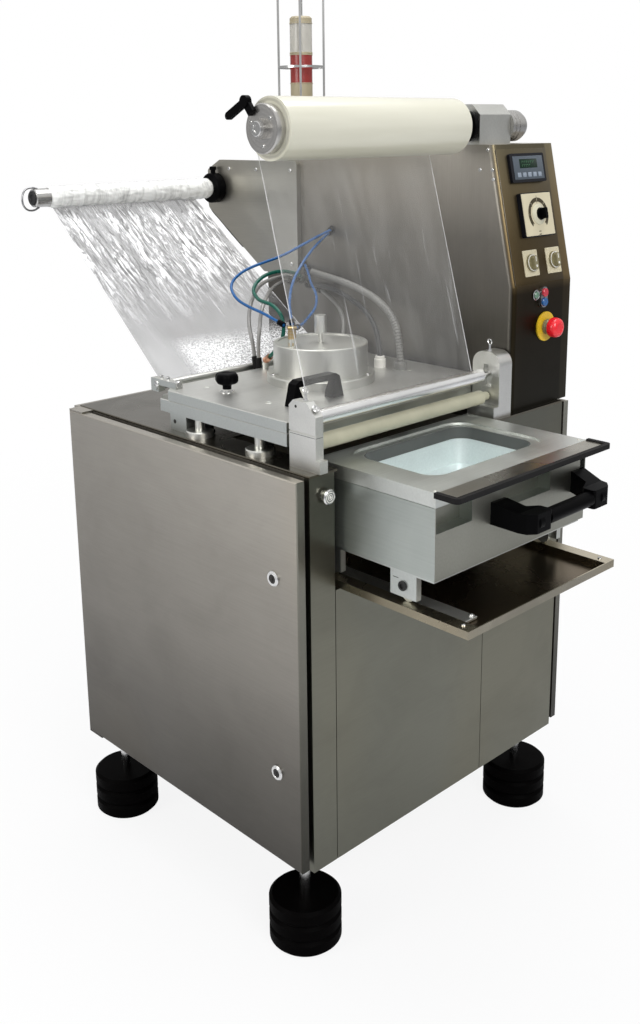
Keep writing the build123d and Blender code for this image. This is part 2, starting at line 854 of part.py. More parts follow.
# Film rollers in front of the head, between two end brackets
roller_y = front + roller_inset
upper_roller_z = worktop + upper_roller_rise
lower_roller_z = worktop + lower_roller_rise
left_bracket_x0 = left + head_inset
left_bracket_x1 = left_bracket_x0 + left_bracket_width
right_bracket_x0 = head_x1 - bracket_gap
roller_x0 = left_bracket_x1 + 2
roller_x1 = right_bracket_x0 - bracket_gap
roller_levels = (upper_roller_z, lower_roller_z)
journals = (journal_diameter, lower_journal_diameter)
pin_depth = 10
pin_bore = journal_diameter + 2 * running_gap
pin_starts = (right_bracket_x0 + bracket_slot_depth, right_bracket_x0)
left_y0 = roller_y - left_bracket_depth / 2
left_y1 = left_y0 + left_bracket_depth
right_y0 = front + right_bracket_setback
right_y1 = right_y0 + right_bracket_depth
step_top = worktop + bracket_step_height
with BuildPart() as roller_brackets:
    bracket_top = worktop + left_bracket_height
    block(left_bracket_x0, left_bracket_x1, left_y0, left_y1, worktop, bracket_top)
    upper_corners = roller_brackets.edges().filter_by(Axis.X).group_by(Axis.Z)[-1].sort_by(Axis.Y)
    chamfer(upper_corners[0], left_bracket_front_cut)
    chamfer(upper_corners[-1], left_bracket_back_cut)
    block(left_bracket_x0, left_bracket_x1, left_y0 - left_bracket_step, left_y0, worktop, step_top)
    split_z = (upper_roller_z + lower_roller_z) / 2
    groove_x1 = left_bracket_x0 + 2
    block(left_bracket_x0 - 1, groove_x1, left_y0, left_y1, split_z, split_z + 2, Mode.SUBTRACT)
    right_middle = (right_y0 + right_y1) / 2
    with BuildSketch(Plane.YZ.offset(right_bracket_x0)) as right_outline:
        with Locations((right_middle, worktop + right_bracket_height / 2)):
            Rectangle(right_bracket_depth, right_bracket_height)
        fillet(right_outline.vertices().group_by(Axis.Y)[-1], right_bracket_radius)
    extrude(right_outline.sketch, amount=right_bracket_width)
    step_x0 = right_bracket_x0 - right_bracket_step
    block(step_x0, right_bracket_x0, right_y0, right_y1, worktop, step_top)
    block(
        right_bracket_x0 - 1,
        right_bracket_x0 + bracket_slot_depth,
        roller_y - bracket_slot_width / 2,
        roller_y + bracket_slot_width / 2,
        upper_roller_z - bracket_slot_below,
        upper_roller_z + bracket_slot_above,
        mode=Mode.SUBTRACT,
    )
    for z, pin_start in zip(roller_levels, pin_starts):
        rod_x(left_bracket_x1 - pin_depth - 1, left_bracket_x1 + 1, roller_y, z, pin_bore, Mode.SUBTRACT)
        rod_x(pin_start - 1, pin_start + pin_depth + 1, roller_y, z, pin_bore, Mode.SUBTRACT)
save(roller_brackets, "roller_brackets")

roller_names = ("upper_roller", "lower_roller")
roller_diameters = (upper_roller_diameter, lower_roller_diameter)
rollers = zip(roller_names, roller_levels, roller_diameters, journals, pin_starts)
for name, z, diameter, journal, pin_start in rollers:
    with BuildPart() as roller:
        rod_x(roller_x0, roller_x1, roller_y, z, diameter)
        chamfer(roller.edges().filter_by(GeomType.CIRCLE), 1)
        rod_x(roller_x1, right_bracket_x0 - 3, roller_y, z, journal)
        rod_x(left_bracket_x1 - pin_depth, pin_start + pin_depth, roller_y, z, journal_diameter)
    save(roller, name)

# Rear guide rod of the film on its two arms, and the foot blocks under the head's rear edge
guide_rod_y = head_y1 + guide_rod_reach
guide_rod_z = head_top - guide_rod_drop
lug_half = guide_rod_diameter / 2 + 2
arm_tail_y = guide_rod_y + guide_arm_tail
arm_x0 = head_x0 + guide_arm_inset
arm_x1 = head_x1 - guide_arm_inset
block_y1 = head_y1 - foot_block_setback
with BuildPart() as rear_blocks:
    for x0, x1 in ((arm_x0, arm_x0 + guide_arm_width), (arm_x1 - guide_arm_width, arm_x1)):
        block(x0, x1, head_y1 - guide_arm_front, arm_tail_y, head_top, head_top + guide_arm_thickness)
        block(x0, x1, guide_rod_y - lug_half, arm_tail_y, guide_rod_z - lug_half, head_top)
    rod_x(arm_x0 - 2, arm_x1 + 2, guide_rod_y, guide_rod_z, guide_rod_diameter)
    for x0 in (head_x0 + 2, head_x1 - foot_block_width):
        block(x0, x0 + foot_block_width, block_y1 - foot_block_depth, block_y1, worktop, head_bottom)
save(rear_blocks, "rear_blocks")

# Control column with its slanted face, a cable slot in its left side
slot_y0 = front + 630
slot_z0 = worktop + 275
with BuildPart() as control_column:
    with BuildSketch(Plane.YZ.offset(column_x0)) as column_outline:
        with BuildLine():
            Polyline(
                (column_y0, worktop),
                (column_y0, column_bend),
                (column_y0 + column_slant, column_top),
                (column_y1, column_top),
                (column_y1, worktop),
                close=True,
            )
        make_face()
    extrude(column_outline.sketch, amount=column_width)
    fillet(control_column.edges().group_by(Axis.X)[-1], column_edge_radius)
    fillet(control_column.edges().group_by(Axis.X)[0].sort_by(Axis.Y)[:2], column_front_radius)
    block(
        column_x0 - 1,
        column_x0 + cable_slot_height,
        slot_y0,
        slot_y0 + cable_slot_length,
        slot_z0,
        slot_z0 + cable_slot_height,
        mode=Mode.SUBTRACT,
    )
save(control_column, "control_column")

slant_height = column_height - column_bend_height
slant_angle = degrees(atan2(column_slant, slant_height))
slant_face = Plane(
    origin=(column_x0, column_y0, column_bend),
    x_dir=(1, 0, 0),
    z_dir=(0, -cos(radians(slant_angle)), sin(radians(slant_angle))),
)
column_middle = column_width / 2


def panel_box(u, v, width, height, base, thickness, radius=2, mode=Mode.ADD):
    """A rounded plate on the slanted face: u across, v up the slope, from the bend's left end."""
    with BuildSketch(slant_face.offset(base)) as outline:
        with Locations((u, v)):
            RectangleRounded(width, height, radius)
    extrude(outline.sketch, amount=thickness, mode=mode)


display_place = (column_middle - 5.5, 231)
dial_place = (column_middle + 0.5, 137)
switch_places = ((column_middle - 34.5, 43), (column_middle + 41.5, 43))
display_rise = 8
switch_plate_rise = 3
with BuildPart() as display_unit:
    panel_box(*display_place, display_width, display_height, 0, display_rise, 4)
    panel_box(*dial_place, dial_plate_width, dial_plate_height, 0, timer_rise, 4)
save(display_unit, "display_unit")

with BuildPart() as control_plates:
    face_width = dial_plate_width - 2 * dial_face_inset
    face_height = dial_plate_height - 2 * dial_face_inset
    panel_box(*dial_place, face_width, face_height, timer_rise, dial_face_thickness)
    for u, v in switch_places:
        panel_box(u, v, switch_plate_width, switch_plate_height, 0, switch_plate_rise)
save(control_plates, "control_plates")


def knob_on_face(u, v, base, diameter, skirt_height, grip_length, grip_width, grip_height):
    """A round knob on the slanted face: skirt, then a raised grip bar across it."""
    with BuildSketch(slant_face.offset(base)) as skirt:
        with Locations((u, v)):
            Circle(diameter / 2)
    extrude(skirt.sketch, amount=skirt_height)
    with BuildSketch(slant_face.offset(base + skirt_height)) as grip:
        with Locations((u, v)):
            SlotOverall(grip_length, grip_width, rotation=90)
    extrude(grip.sketch, amount=grip_height)


with BuildPart() as dial_knob:
    knob_on_face(
        *dial_place,
        timer_rise + dial_face_thickness + running_gap,
        dial_knob_diameter,
        dial_skirt_height,
        dial_grip_length,
        dial_grip_width,
        dial_grip_height,
    )
save(dial_knob, "dial_knob")

switch_names = ("left_switch", "right_switch")
for name, (u, v) in zip(switch_names, switch_places):
    with BuildPart() as switch:
        knob_on_face(
            u,
            v,
            switch_plate_rise + running_gap,
            switch_diameter,
            switch_skirt_height,
            switch_grip_length,
            switch_grip_width,
            switch_grip_height,
        )
    save(switch, name)

# Buttons and emergency stop on the upright part of the column
lamp_place = (column_x0 + 75, worktop + 230)
red_place = (column_x0 + 96, worktop + 234)
blue_place = (red_place[0], red_place[1] - button_pitch)
button_places = (red_place, blue_place)
with BuildPart() as green_lamp:
    rod_y(lamp_place[0], column_y0 - 4, column_y0, lamp_place[1], lamp_diameter)
    chamfer(green_lamp.edges().group_by(Axis.Y)[0], 1.5)
save(green_lamp, "green_lamp")

button_seat = column_y0 - bezel_rise - button_travel
button_outer_end = button_seat - 4
bezel_middle = (red_place[0], red_place[1] - button_pitch / 2)
with BuildPart() as button_bezels:
    with BuildSketch(Plane.XZ.offset(-column_y0)) as bezel:
        with Locations(bezel_middle):
            SlotOverall(bezel_height, bezel_width, rotation=90)
    extrude(bezel.sketch, amount=column_y0 - button_seat)
    for x, z in button_places:
        bore = button_diameter + 2 * running_gap
        rod_y(x, button_outer_end, column_y0 + 1, z, bore, mode=Mode.SUBTRACT)
save(button_bezels, "button_bezels")

for name, (x, z) in zip(("red_button", "blue_button"), button_places):
    with BuildPart() as button:
        rod_y(x, button_outer_end, column_y0 - button_travel - running_gap, z, button_diameter)
        chamfer(button.edges().group_by(Axis.Y)[0], 1)
    save(button, name)

estop_x = column_x0 + 109
estop_z = worktop + 163
estop_neck_y = column_y0 - estop_reach + 18
estop_disc_rise = 3
with BuildPart() as estop_disc:
    rod_y(estop_x, column_y0 - estop_disc_rise, column_y0, estop_z, estop_disc_diameter)
    collar_y0 = column_y0 - estop_collar_rise
    rod_y(estop_x, collar_y0, column_y0 - estop_disc_rise, estop_z, estop_collar_diameter)
    bore = estop_stem_diameter + 2 * running_gap
    rod_y(estop_x, collar_y0 - 1, column_y0 + 1, estop_z, bore, mode=Mode.SUBTRACT)
save(estop_disc, "estop_disc")

with BuildPart() as estop_button:
    rod_y(estop_x, estop_neck_y, column_y0 - estop_travel - 2, estop_z, estop_stem_diameter)
    rod_y(estop_x, column_y0 - estop_reach, estop_neck_y, estop_z, estop_button_diameter)
    chamfer(estop_button.edges().group_by(Axis.Y)[0], 4, 7)
save(estop_button, "estop_button")

# Film reel, carried by the bearing block on the column
reel_y = column_y0 + reel_setback
reel_z = column_top + reel_rise
roll_x0 = left + 42
roll_x1 = head_x1 - bracket_gap - roll_overhang
reel_bore_depth = 60
with BuildPart() as reel_bearing:
    block_y0 = reel_y - reel_block_depth / 2
    block_x1 = column_x0 + reel_block_width
    block_y1 = block_y0 + reel_block_depth
    block(column_x0, block_x1, block_y0, block_y1, column_top, column_top + reel_block_height)
    front_top = reel_bearing.edges().filter_by(Axis.X).sort_by(Axis((0, 0, 0), (0, -1, 1)))[-1]
    chamfer(front_top, reel_block_cut)
    bore = reel_shaft_diameter + 2 * running_gap
    rod_x(column_x0 - 1, column_x0 + reel_bore_depth, reel_y, reel_z, bore, mode=Mode.SUBTRACT)
save(reel_bearing, "reel_bearing")

with BuildPart() as reel_shaft:
    rod_x(roll_x0 - reel_disc_width, roll_x0, reel_y, reel_z, reel_disc_diameter)
    chamfer(reel_shaft.edges().filter_by(GeomType.CIRCLE), 2)
    disc_x0 = roll_x0 - reel_disc_width
    rod_x(disc_x0 - reel_hub_length, disc_x0, reel_y, reel_z, reel_hub_diameter)
    rod_x(roll_x0, column_x0 + reel_bore_depth - 1, reel_y, reel_z, reel_shaft_diameter)
save(reel_shaft, "reel_shaft")

with BuildPart() as film_roll:
    rod_x(roll_x0, roll_x1, reel_y, reel_z, roll_diameter)
    rod_x(roll_x0, roll_x1, reel_y, reel_z, reel_shaft_diameter, mode=Mode.SUBTRACT)
save(film_roll, "film_roll")

collar_x1 = column_x0 - 10
with BuildPart() as reel_collar:
    rod_x(collar_x1 - 10, collar_x1, reel_y, reel_z, reel_collar_diameter)
    chamfer(reel_collar.edges().filter_by(GeomType.CIRCLE), 1.5)
    rod_x(collar_x1 - 10, collar_x1, reel_y, reel_z, reel_shaft_diameter, mode=Mode.SUBTRACT)
save(reel_collar, "reel_collar")

# Clamp lever of the reel disc: a bracket on the disc's rim, the pivot hub and the lever
lever_x = roll_x0 - reel_disc_width - 4
lever_hub = (reel_y + 33, reel_z + 44)
lever_foot = (reel_y + 18, reel_z + 25)
lever_turn = 27
lever_length = 56
with BuildPart() as clamp_lever:
    rod_x(lever_x - 6, lever_x + 4, *lever_hub, 20)
    with BuildSketch(Plane.YZ.offset(lever_x - 4)) as lever_outline:
        with BuildLine() as lever_bracket:
            Line(lever_foot, lever_hub)
        trace(lever_bracket.line, line_width=14)
        lever_middle = (
            lever_hub[0] + lever_length / 2 * cos(radians(lever_turn)),
            lever_hub[1] - lever_length / 2 * sin(radians(lever_turn)),
        )
        with Locations(Location(lever_middle, -lever_turn)):
            SlotOverall(lever_length, 13)
    extrude(lever_outline.sketch, amount=8)
save(clamp_lever, "clamp_lever")

knob_x0 = block_x1 + running_gap
brake_r = brake_knob_diameter / 2
brake_waist = brake_r - brake_groove_depth
brake_outline = [(0, 0), (brake_r, 0)]
for groove_start in (8, 20):
    brake_outline += [(brake_r, groove_start), (brake_waist, groove_start + 1)]
    groove_end = groove_start + 1 + brake_groove_width
    brake_outline += [(brake_waist, groove_end), (brake_r, groove_end + 1)]
brake_outline += [
    (brake_r, brake_knob_length - 18),
    (brake_r - 5, brake_knob_length - 7),
    (brake_end_diameter / 2, brake_knob_length),
    (0, brake_knob_length),
]
with BuildPart() as brake_knob:
    knob_origin = (knob_x0, reel_y, reel_z)
    with BuildSketch(Plane(origin=knob_origin, x_dir=(0, 0, 1), z_dir=(0, -1, 0))) as knob_side:
        with BuildLine():
            Polyline(*[(r, -u) for r, u in brake_outline], close=True)
        make_face()
    revolve(knob_side.sketch, Axis(knob_origin, (1, 0, 0)))
save(brake_knob, "brake_knob")

# Rewinder for the waste film: plate on the column's side, collar and winding shaft
rewind_y = back + rewind_reach
rewind_z = column_top - rewind_drop
plate_x0 = column_x0 - rewind_plate_thickness
plate_points = (
    (-290, 68),
    (-11, 68),
    (36, 44),
    (36, -48),
    (-170, -193),
    (-290, -193),
)
with BuildPart() as rewind_plate:
    with BuildSketch(Plane.YZ.offset(plate_x0)) as plate_outline:
        with BuildLine():
            Polyline(*[(rewind_y + y, rewind_z + z) for y, z in plate_points], close=True)
        make_face()
        fillet(plate_outline.vertices(), 8)
    extrude(plate_outline.sketch, amount=rewind_plate_thickness)
save(rewind_plate, "rewind_plate")

collar_x0 = plate_x0 - running_gap - rewind_collar_width
with BuildPart() as rewind_collar:
    rod_x(collar_x0, plate_x0 - running_gap, rewind_y, rewind_z, rewind_collar_diameter)
    chamfer(rewind_collar.edges().filter_by(GeomType.CIRCLE), 2)
    pin_x = collar_x0 + rewind_collar_width / 2
    pin_z0 = rewind_z + rewind_collar_diameter / 2 - 3
    rod_z(pin_x, rewind_y, pin_z0, rewind_z + rewind_pin_top, rewind_pin_diameter)
save(rewind_collar, "rewind_collar")

with BuildPart() as rewind_shaft:
    rod_x(left + 42, collar_x0, rewind_y, rewind_z, rewind_shaft_diameter)
    chamfer(rewind_shaft.edges().filter_by(GeomType.CIRCLE).group_by(Axis.X)[0], 2)
save(rewind_shaft, "rewind_shaft")

# Signal tower and its wire guard
tower_x = column_x0 + tower_inset
tower_y = column_y1 - tower_back
red_z0 = column_top + tower_base_height
clear_z0 = red_z0 + tower_lens_height + tower_band_height
cap_z0 = clear_z0 + tower_lens_height
with BuildPart() as tower_base:
    rod_z(tower_x, tower_y, column_top, red_z0, tower_diameter)
    rod_z(tower_x, tower_y, red_z0 + tower_lens_height, clear_z0, tower_diameter)
    rod_z(tower_x, tower_y, cap_z0, cap_z0 + tower_cap_height, tower_diameter)
    chamfer(tower_base.edges().group_by(Axis.Z)[-1], 4)
save(tower_base, "tower_base")

for name, z0 in (("tower_red_lens", red_z0), ("tower_clear_lens", clear_z0)):
    with BuildPart() as lens:
        rod_z(tower_x, tower_y, z0, z0 + tower_lens_height, tower_diameter)
    save(lens, name)

# Guard: four uprights, a hoop halfway up and one on top, all of bent rod
guard_r = guard_diameter / 2
with BuildPart() as tower_guard:
    with Locations((tower_x, tower_y, column_top)):
        with PolarLocations(guard_r, 4, start_angle=45):
            Box(guard_rod, guard_rod, guard_height, align=(Align.CENTER, Align.CENTER, Align.MIN))
    for rise in (guard_ring_height, guard_height):
        with BuildSketch(Plane(origin=(tower_x, tower_y, column_top + rise - guard_rod))) as hoop:
            Circle(guard_r + guard_rod / 2)
            Circle(guard_r - guard_rod / 2, mode=Mode.SUBTRACT)
        extrude(hoop.sketch, amount=guard_rod)
save(tower_guard, "tower_guard")

# Film web: from the roll to the rollers, under the head, and waste up to the rewinder
film_x0 = head_x0 + film_inset
film_x1 = drawer_x1


def film_sheet(points):
    """A thin sheet along a polyline in the YZ plane, as wide as the film."""
    with BuildSketch(Plane.YZ.offset(film_x0)) as section:
        with BuildLine() as middle:
            Polyline(*points)
        trace(middle.line, line_width=film_thickness)
    extrude(section.sketch, amount=film_x1 - film_x0)


def rear_tangent(centre_a, radius_a, centre_b, radius_b):
    """The straight line that touches two circles on their +Y sides, as its two end points."""
    (ya, za), (yb, zb) = centre_a, centre_b
    distance = sqrt((yb - ya) ** 2 + (zb - za) ** 2)
    heading = atan2(zb - za, yb - ya)
    turn = heading + acos((radius_a - radius_b) / distance)
    side = (cos(turn), sin(turn))
    return (
        (ya + radius_a * side[0], za + radius_a * side[1]),
        (yb + radius_b * side[0], zb + radius_b * side[1]),
    )


half_film = film_thickness / 2 + film_gap
web_z = lower_roller_z - lower_roller_diameter / 2 - half_film
with BuildPart() as film_web:
    film_sheet(
        rear_tangent(
            (reel_y, reel_z),
            roll_diameter / 2 + half_film,
            (roller_y, upper_roller_z),
            upper_roller_diameter / 2 + half_film,
        )
    )
    film_sheet(
        [
            (roller_y, web_z),
            (guide_rod_y, web_z),
            (guide_rod_y + guide_rod_diameter / 2 + half_film, guide_rod_z),
            (rewind_y + 15, rewind_z - rewind_shaft_diameter / 2 - half_film),
        ]
    )
save(film_web, "film_web")

# Hoses from the column to the head: points measured from the cabinet's left front corner and
# the worktop; each bend takes the same share of the shorter of its two straight runs
def bend_radii(points):
    """The radius of each bend of a hose."""
    radii = []
    for before, corner, after in zip(points, points[1:], points[2:]):
        arriving = Vector(*corner) - Vector(*before)
        leaving = Vector(*after) - Vector(*corner)
        half_turn = radians(arriving.get_angle(leaving)) / 2
        shorter = min(arriving.length, leaving.length)
        radii.append(bend_share * shorter * cos(half_turn) / sin(half_turn))
    return radii


def hose(points, diameter):
    """A tube along the points, cut off flush with the column's side."""
    placed = [(left + x, front + y, worktop + z) for x, y, z in points]
    radii = bend_radii(placed)
    print("hose", diameter, "bend radii", [round(radius) for radius in radii])
    with BuildLine(mode=Mode.PRIVATE) as route:
        FilletPolyline(*placed, radius=radii)
    start = Plane(origin=route.line @ 0, z_dir=route.line % 0)
    with BuildSketch(start, mode=Mode.PRIVATE) as section:
        Circle(diameter / 2)
    sweep(sections=section.sketch, path=route.line)


hose_routes = {
    "blue_hoses": (
        (
            blue_hose_diameter,
            (
                (567, 517, 338),
                (506, 506, 325),
                (446, 496, 310),
                (386, 492, 293),
                (336, 499, 283),
                (290, 509, 269),
                (254, 506, 246),
                (240, 471, 221),
                (228, 413, 211),
                (219, 357, 206),
                (213, 293, 191),
            ),
        ),
        (
            blue_hose_diameter,
            (
                (567, 527, 330),
                (512, 505, 314),
                (464, 489, 292),
                (420, 471, 267),
                (376, 446, 243),
                (322, 396, 221),
                (268, 337, 207),
                (224, 281, 193),
            ),
        ),
        (
            blue_hose_diameter,
            (
                (567, 612, 252),
                (540, 572, 241),
                (504, 526, 222),
                (472, 472, 205),
                (424, 424, 186),
                (372, 394, 174),
                (338, 369, 172),
                (282, 320, 178),
                (226, 270, 188),
            ),
        ),
    ),
    "green_hose": (
        (
            green_hose_diameter,
            (
                (567, 619, 214),
                (508, 562, 235),
                (452, 537, 251),
                (400, 525, 258),
                (352, 520, 250),
                (314, 505, 229),
                (298, 465, 213),
                (287, 430, 207),
                (285, 386, 196),
                (284, 383, 153),
                (281, 429, 91),
            ),
        ),
    ),
    "clear_hoses": (
        (
            clear_hose_diameter,
            (
                (567, 645, 212),
                (500, 592, 234),
                (432, 560, 238),
                (366, 536, 234),
                (318, 506, 216),
                (291, 489, 188),
                (282, 480, 157),
                (281, 466, 120),
                (280, 455, 54),
            ),
        ),
        (
            clear_hose_diameter,
            (
                (567, 660, 208),
                (500, 600, 222),
                (432, 556, 224),
                (368, 510, 220),
                (318, 472, 204),
                (293, 455, 182),
                (282, 446, 153),
                (277, 447, 120),
                (277, 443.5, 54),
            ),
        ),
    ),
    "dark_hoses": (
        (
            dark_hose_diameter,
            (
                (567, 594, 206),
                (548, 523, 210),
                (525, 446, 204),
                (502, 374, 190),
                (480, 315, 169),
                (460, 276, 140),
                (451, 262, 100),
            ),
        ),
        (
            corrugated_hose_diameter,
            (
                (567, 594, 236),
                (545, 494, 231),
                (520, 398, 223),
                (496, 313, 208),
                (478, 250, 179),
                (466, 222, 136),
                (465, 218, 88),
            ),
        ),
        (
            grey_hose_diameter,
            (
                (567, 560, 198),
                (549, 508, 184),
                (530, 460, 170),
                (508, 424, 148),
                (486, 406, 116),
                (482, 402, 73),
            ),
        ),
    ),
}
for name, hoses in hose_routes.items():
    with BuildPart() as bundle:
        for diameter, points in hoses:
            hose(points, diameter)
        add(control_column.part, mode=Mode.SUBTRACT)
        add(head_fittings.part, mode=Mode.SUBTRACT)
        for _, y1, z0, z1 in plates:
            block(head_x0, head_x1, head_y0, y1, z0, z1, mode=Mode.SUBTRACT)
    save(bundle, name)
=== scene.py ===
"""Look of the tray sealer: camera, hoses, films, materials, small details and light."""
import math

import bmesh
import bpy
from mathutils import Euler, Matrix, Vector, noise


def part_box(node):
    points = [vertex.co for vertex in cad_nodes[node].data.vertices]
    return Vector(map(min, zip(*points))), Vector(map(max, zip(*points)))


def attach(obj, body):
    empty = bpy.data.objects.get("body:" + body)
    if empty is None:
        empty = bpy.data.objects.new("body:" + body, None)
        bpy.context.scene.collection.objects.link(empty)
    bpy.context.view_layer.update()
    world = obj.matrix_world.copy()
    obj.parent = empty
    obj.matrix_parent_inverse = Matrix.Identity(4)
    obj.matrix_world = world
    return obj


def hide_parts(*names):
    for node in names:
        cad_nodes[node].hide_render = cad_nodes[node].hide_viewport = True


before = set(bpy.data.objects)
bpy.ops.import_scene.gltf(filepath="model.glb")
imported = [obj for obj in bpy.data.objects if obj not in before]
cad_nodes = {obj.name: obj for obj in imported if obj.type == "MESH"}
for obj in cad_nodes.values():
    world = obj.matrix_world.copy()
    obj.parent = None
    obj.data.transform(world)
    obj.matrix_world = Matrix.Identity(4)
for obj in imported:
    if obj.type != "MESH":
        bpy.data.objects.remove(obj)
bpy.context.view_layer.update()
scene = bpy.context.scene

# The cabinet's front left bottom corner, in metres
LEFT, FRONT, BOTTOM = -0.364, -0.350, 0.202
MM = 0.001


def at(x, y, z):
    """A place given in millimetres from the cabinet's left side, front and underside."""
    return Vector((x * MM + LEFT, y * MM + FRONT, z * MM + BOTTOM))


# Camera, fitted to the photograph
camera_data = bpy.data.cameras.new("camera")
camera_data.lens = 38.77
camera_data.sensor_width = 36
camera_data.shift_y = -0.12
camera = bpy.data.objects.new("camera", camera_data)
camera.location = (-1.550, -1.618, 1.5145)
aim = Euler((math.radians(76.61), 0, math.radians(-43.73))).to_matrix()
camera.rotation_euler = (aim @ Matrix.Rotation(math.radians(-0.62), 3, "Z")).to_euler()
scene.collection.objects.link(camera)
scene.camera = camera


# Nodes of the materials
def node_of(tree, kind, sockets, **settings):
    """A new node with its own settings, whose inputs are set to values or linked to outputs."""
    node = tree.nodes.new(f"ShaderNode{kind}")
    for name, value in settings.items():
        setattr(node, name, value)
    for key, value in sockets.items():
        if hasattr(value, "is_output"):
            tree.links.new(value, node.inputs[key])
        else:
            node.inputs[key].default_value = value
    return node


def ramp(tree, source, stops):
    node = node_of(tree, "ValToRGB", {0: source})
    elements = node.color_ramp.elements
    while len(elements) < len(stops):
        elements.new(0.5)
    for element, (place, value) in zip(elements, stops):
        element.position = place
        element.color = (*value, 1) if isinstance(value, tuple) else (value, value, value, 1)
    return node.outputs[0]


def own_place(tree, kind="Object"):
    return tree.nodes.new("ShaderNodeTexCoord").outputs[kind]


def coordinate(tree, axis, kind="Object"):
    return node_of(tree, "SeparateXYZ", {0: own_place(tree, kind)}).outputs[axis]


def texture(tree, kind, scale, stretch=(1, 1, 1), turn=(0, 0, 0), origin=(0, 0, 0), **settings):
    """A procedural texture in the object's own coordinates, drawn out along turned axes."""
    mapping = node_of(tree, "Mapping", {0: own_place(tree), "Location": origin, "Rotation": turn,
                                        "Scale": stretch}, vector_type="TEXTURE")
    node = node_of(tree, f"Tex{kind}", {"Scale": scale, "Vector": mapping.outputs[0]})
    for name, value in settings.items():
        if name in node.inputs:
            node.inputs[name].default_value = value
        else:
            setattr(node, name, value)
    return node.outputs[0]


def ranged(tree, source, low, high):
    """The source taken from low..high to 0..1."""
    return node_of(tree, "MapRange", {0: source, "From Min": low, "From Max": high}).outputs[0]


def along(tree, axis, low, high, stops):
    """A ramp over the object's own X, Y or Z, between two places in metres."""
    return ramp(tree, ranged(tree, coordinate(tree, axis), low, high), stops)


def facing(tree, direction):
    """1 where the surface faces the direction in the object's own frame, 0 elsewhere."""
    node = node_of(tree, "VectorMath", {0: own_place(tree, "Normal"), 1: direction}, operation="DOT_PRODUCT")
    return ranged(tree, node.outputs["Value"], 0.3, 0.65)


def mixed(tree, amount, first, second, mode="MIX"):
    first, second = ((*value, 1) if isinstance(value, tuple) else value for value in (first, second))
    return node_of(tree, "Mix", {0: amount, 6: first, 7: second}, data_type="RGBA", blend_type=mode).outputs[2]


def times(tree, first, second):
    return mixed(tree, 1.0, first, second, "MULTIPLY")


def lighter(tree, first, second):
    return mixed(tree, 1.0, first, second, "LIGHTEN")


def shader(colour, metal=0.0, rough=0.5, **sockets):
    material = bpy.data.materials.new("look")
    material.use_nodes = True
    tree = material.node_tree
    base = tree.nodes["Principled BSDF"]
    sockets.update(Base_Color=(*colour, 1), Metallic=metal, Roughness=rough)
    for key, value in sockets.items():
        base.inputs[key.replace("_", " ")].default_value = value
    material.diffuse_color = (*colour, 1)
    return material, tree, base


def feed(tree, base, **sources):
    """Links the sources to the shader's sockets of those names."""
    for key, source in sources.items():
        tree.links.new(source, base.inputs[key.replace("_", " ")])


def bump(tree, base, height, strength, distance):
    node = node_of(tree, "Bump", {"Strength": strength, "Distance": distance, "Height": height})
    feed(tree, base, Normal=node.outputs[0])


def scaled(colour, factor):
    return tuple(min(1, part * factor) for part in colour)


# Families of materials
REEL_AXIS = (128, 1310)
REWIND_AXIS = (910, 1168)
ROLLER_AXIS = (37, 835)


def steel(colour, rough, grain, tones=None, bands=0.5, dirt=0.18, faces=()):
    """Brushed stainless sheet: fine lines along the grain, soft warm and cool bands, handling marks.

    tones = (axis, low, high, stops) multiplies the colour from one end to the other, a painted light and shade,
    and faces lists (direction, colour source or colour) for sides that reflect something darker: a painted
    reflection in their colour."""
    material, tree, base = shader(colour, 1.0, rough)
    lines = texture(tree, "Noise", 420, grain, Detail=3, Roughness=0.65)
    wide = texture(tree, "Noise", 2.3, (1, 1, 2.6), Detail=2, Roughness=0.4)
    marks = texture(tree, "Noise", 8, (1.3, 1.3, 1), Detail=5, Roughness=0.6, Distortion=0.7)
    warm = tuple(part * (1 + share * bands) for part, share in zip(colour, (0.10, 0.03, -0.10)))
    tone = ramp(tree, wide, ((0.34, scaled(colour, 0.93)), (0.5, colour), (0.66, warm)))
    for direction, other in faces:
        tone = mixed(tree, facing(tree, direction), tone, other(tree) if callable(other) else other)
    if tones:
        tone = times(tree, tone, along(tree, *tones))
    tone = times(tree, tone, ramp(tree, lines, ((0.3, 0.93), (0.7, 1.0))))
    tone = times(tree, tone, ramp(tree, marks, ((0.42, 1.0), (0.72, 1 - dirt))))
    feed(tree, base, Base_Color=tone, Roughness=ramp(tree, marks, ((0.35, rough), (0.7, rough + 0.09))))
    bump(tree, base, lines, 0.05, 0.0002)
    return material


def milled(colour, rough, grain=(1, 1, 1), metal=1.0, spread=0.08, scale=260, faces=()):
    """Milled or blasted aluminium: a fine grain, slight stains, softly uneven tone, and faces (direction,
    colour) for sides given another colour, a painted light and shade.
    """
    material, tree, base = shader(colour, metal, rough)
    fine = texture(tree, "Noise", scale, grain, Detail=3)
    wide = texture(tree, "Noise", 7, Detail=4, Distortion=0.4)
    tone = ramp(tree, wide, ((0.32, scaled(colour, 1 - spread)), (0.68, scaled(colour, 1 + spread))))
    for direction, other in faces:
        tone = mixed(tree, facing(tree, direction), tone, other)
    tone = times(tree, tone, ramp(tree, fine, ((0.3, 0.93), (0.7, 1.0))))
    feed(tree, base, Base_Color=tone, Roughness=ramp(tree, wide, ((0.3, rough - 0.04), (0.7, rough + 0.08))))
    bump(tree, base, fine, 0.12, 0.0003)
    return material


def rings_round(tree, axis, scale, **settings):
    """Rings round an axis along X."""
    return texture(tree, "Wave", scale, origin=at(0, *axis), wave_type="RINGS", rings_direction="X", **settings)


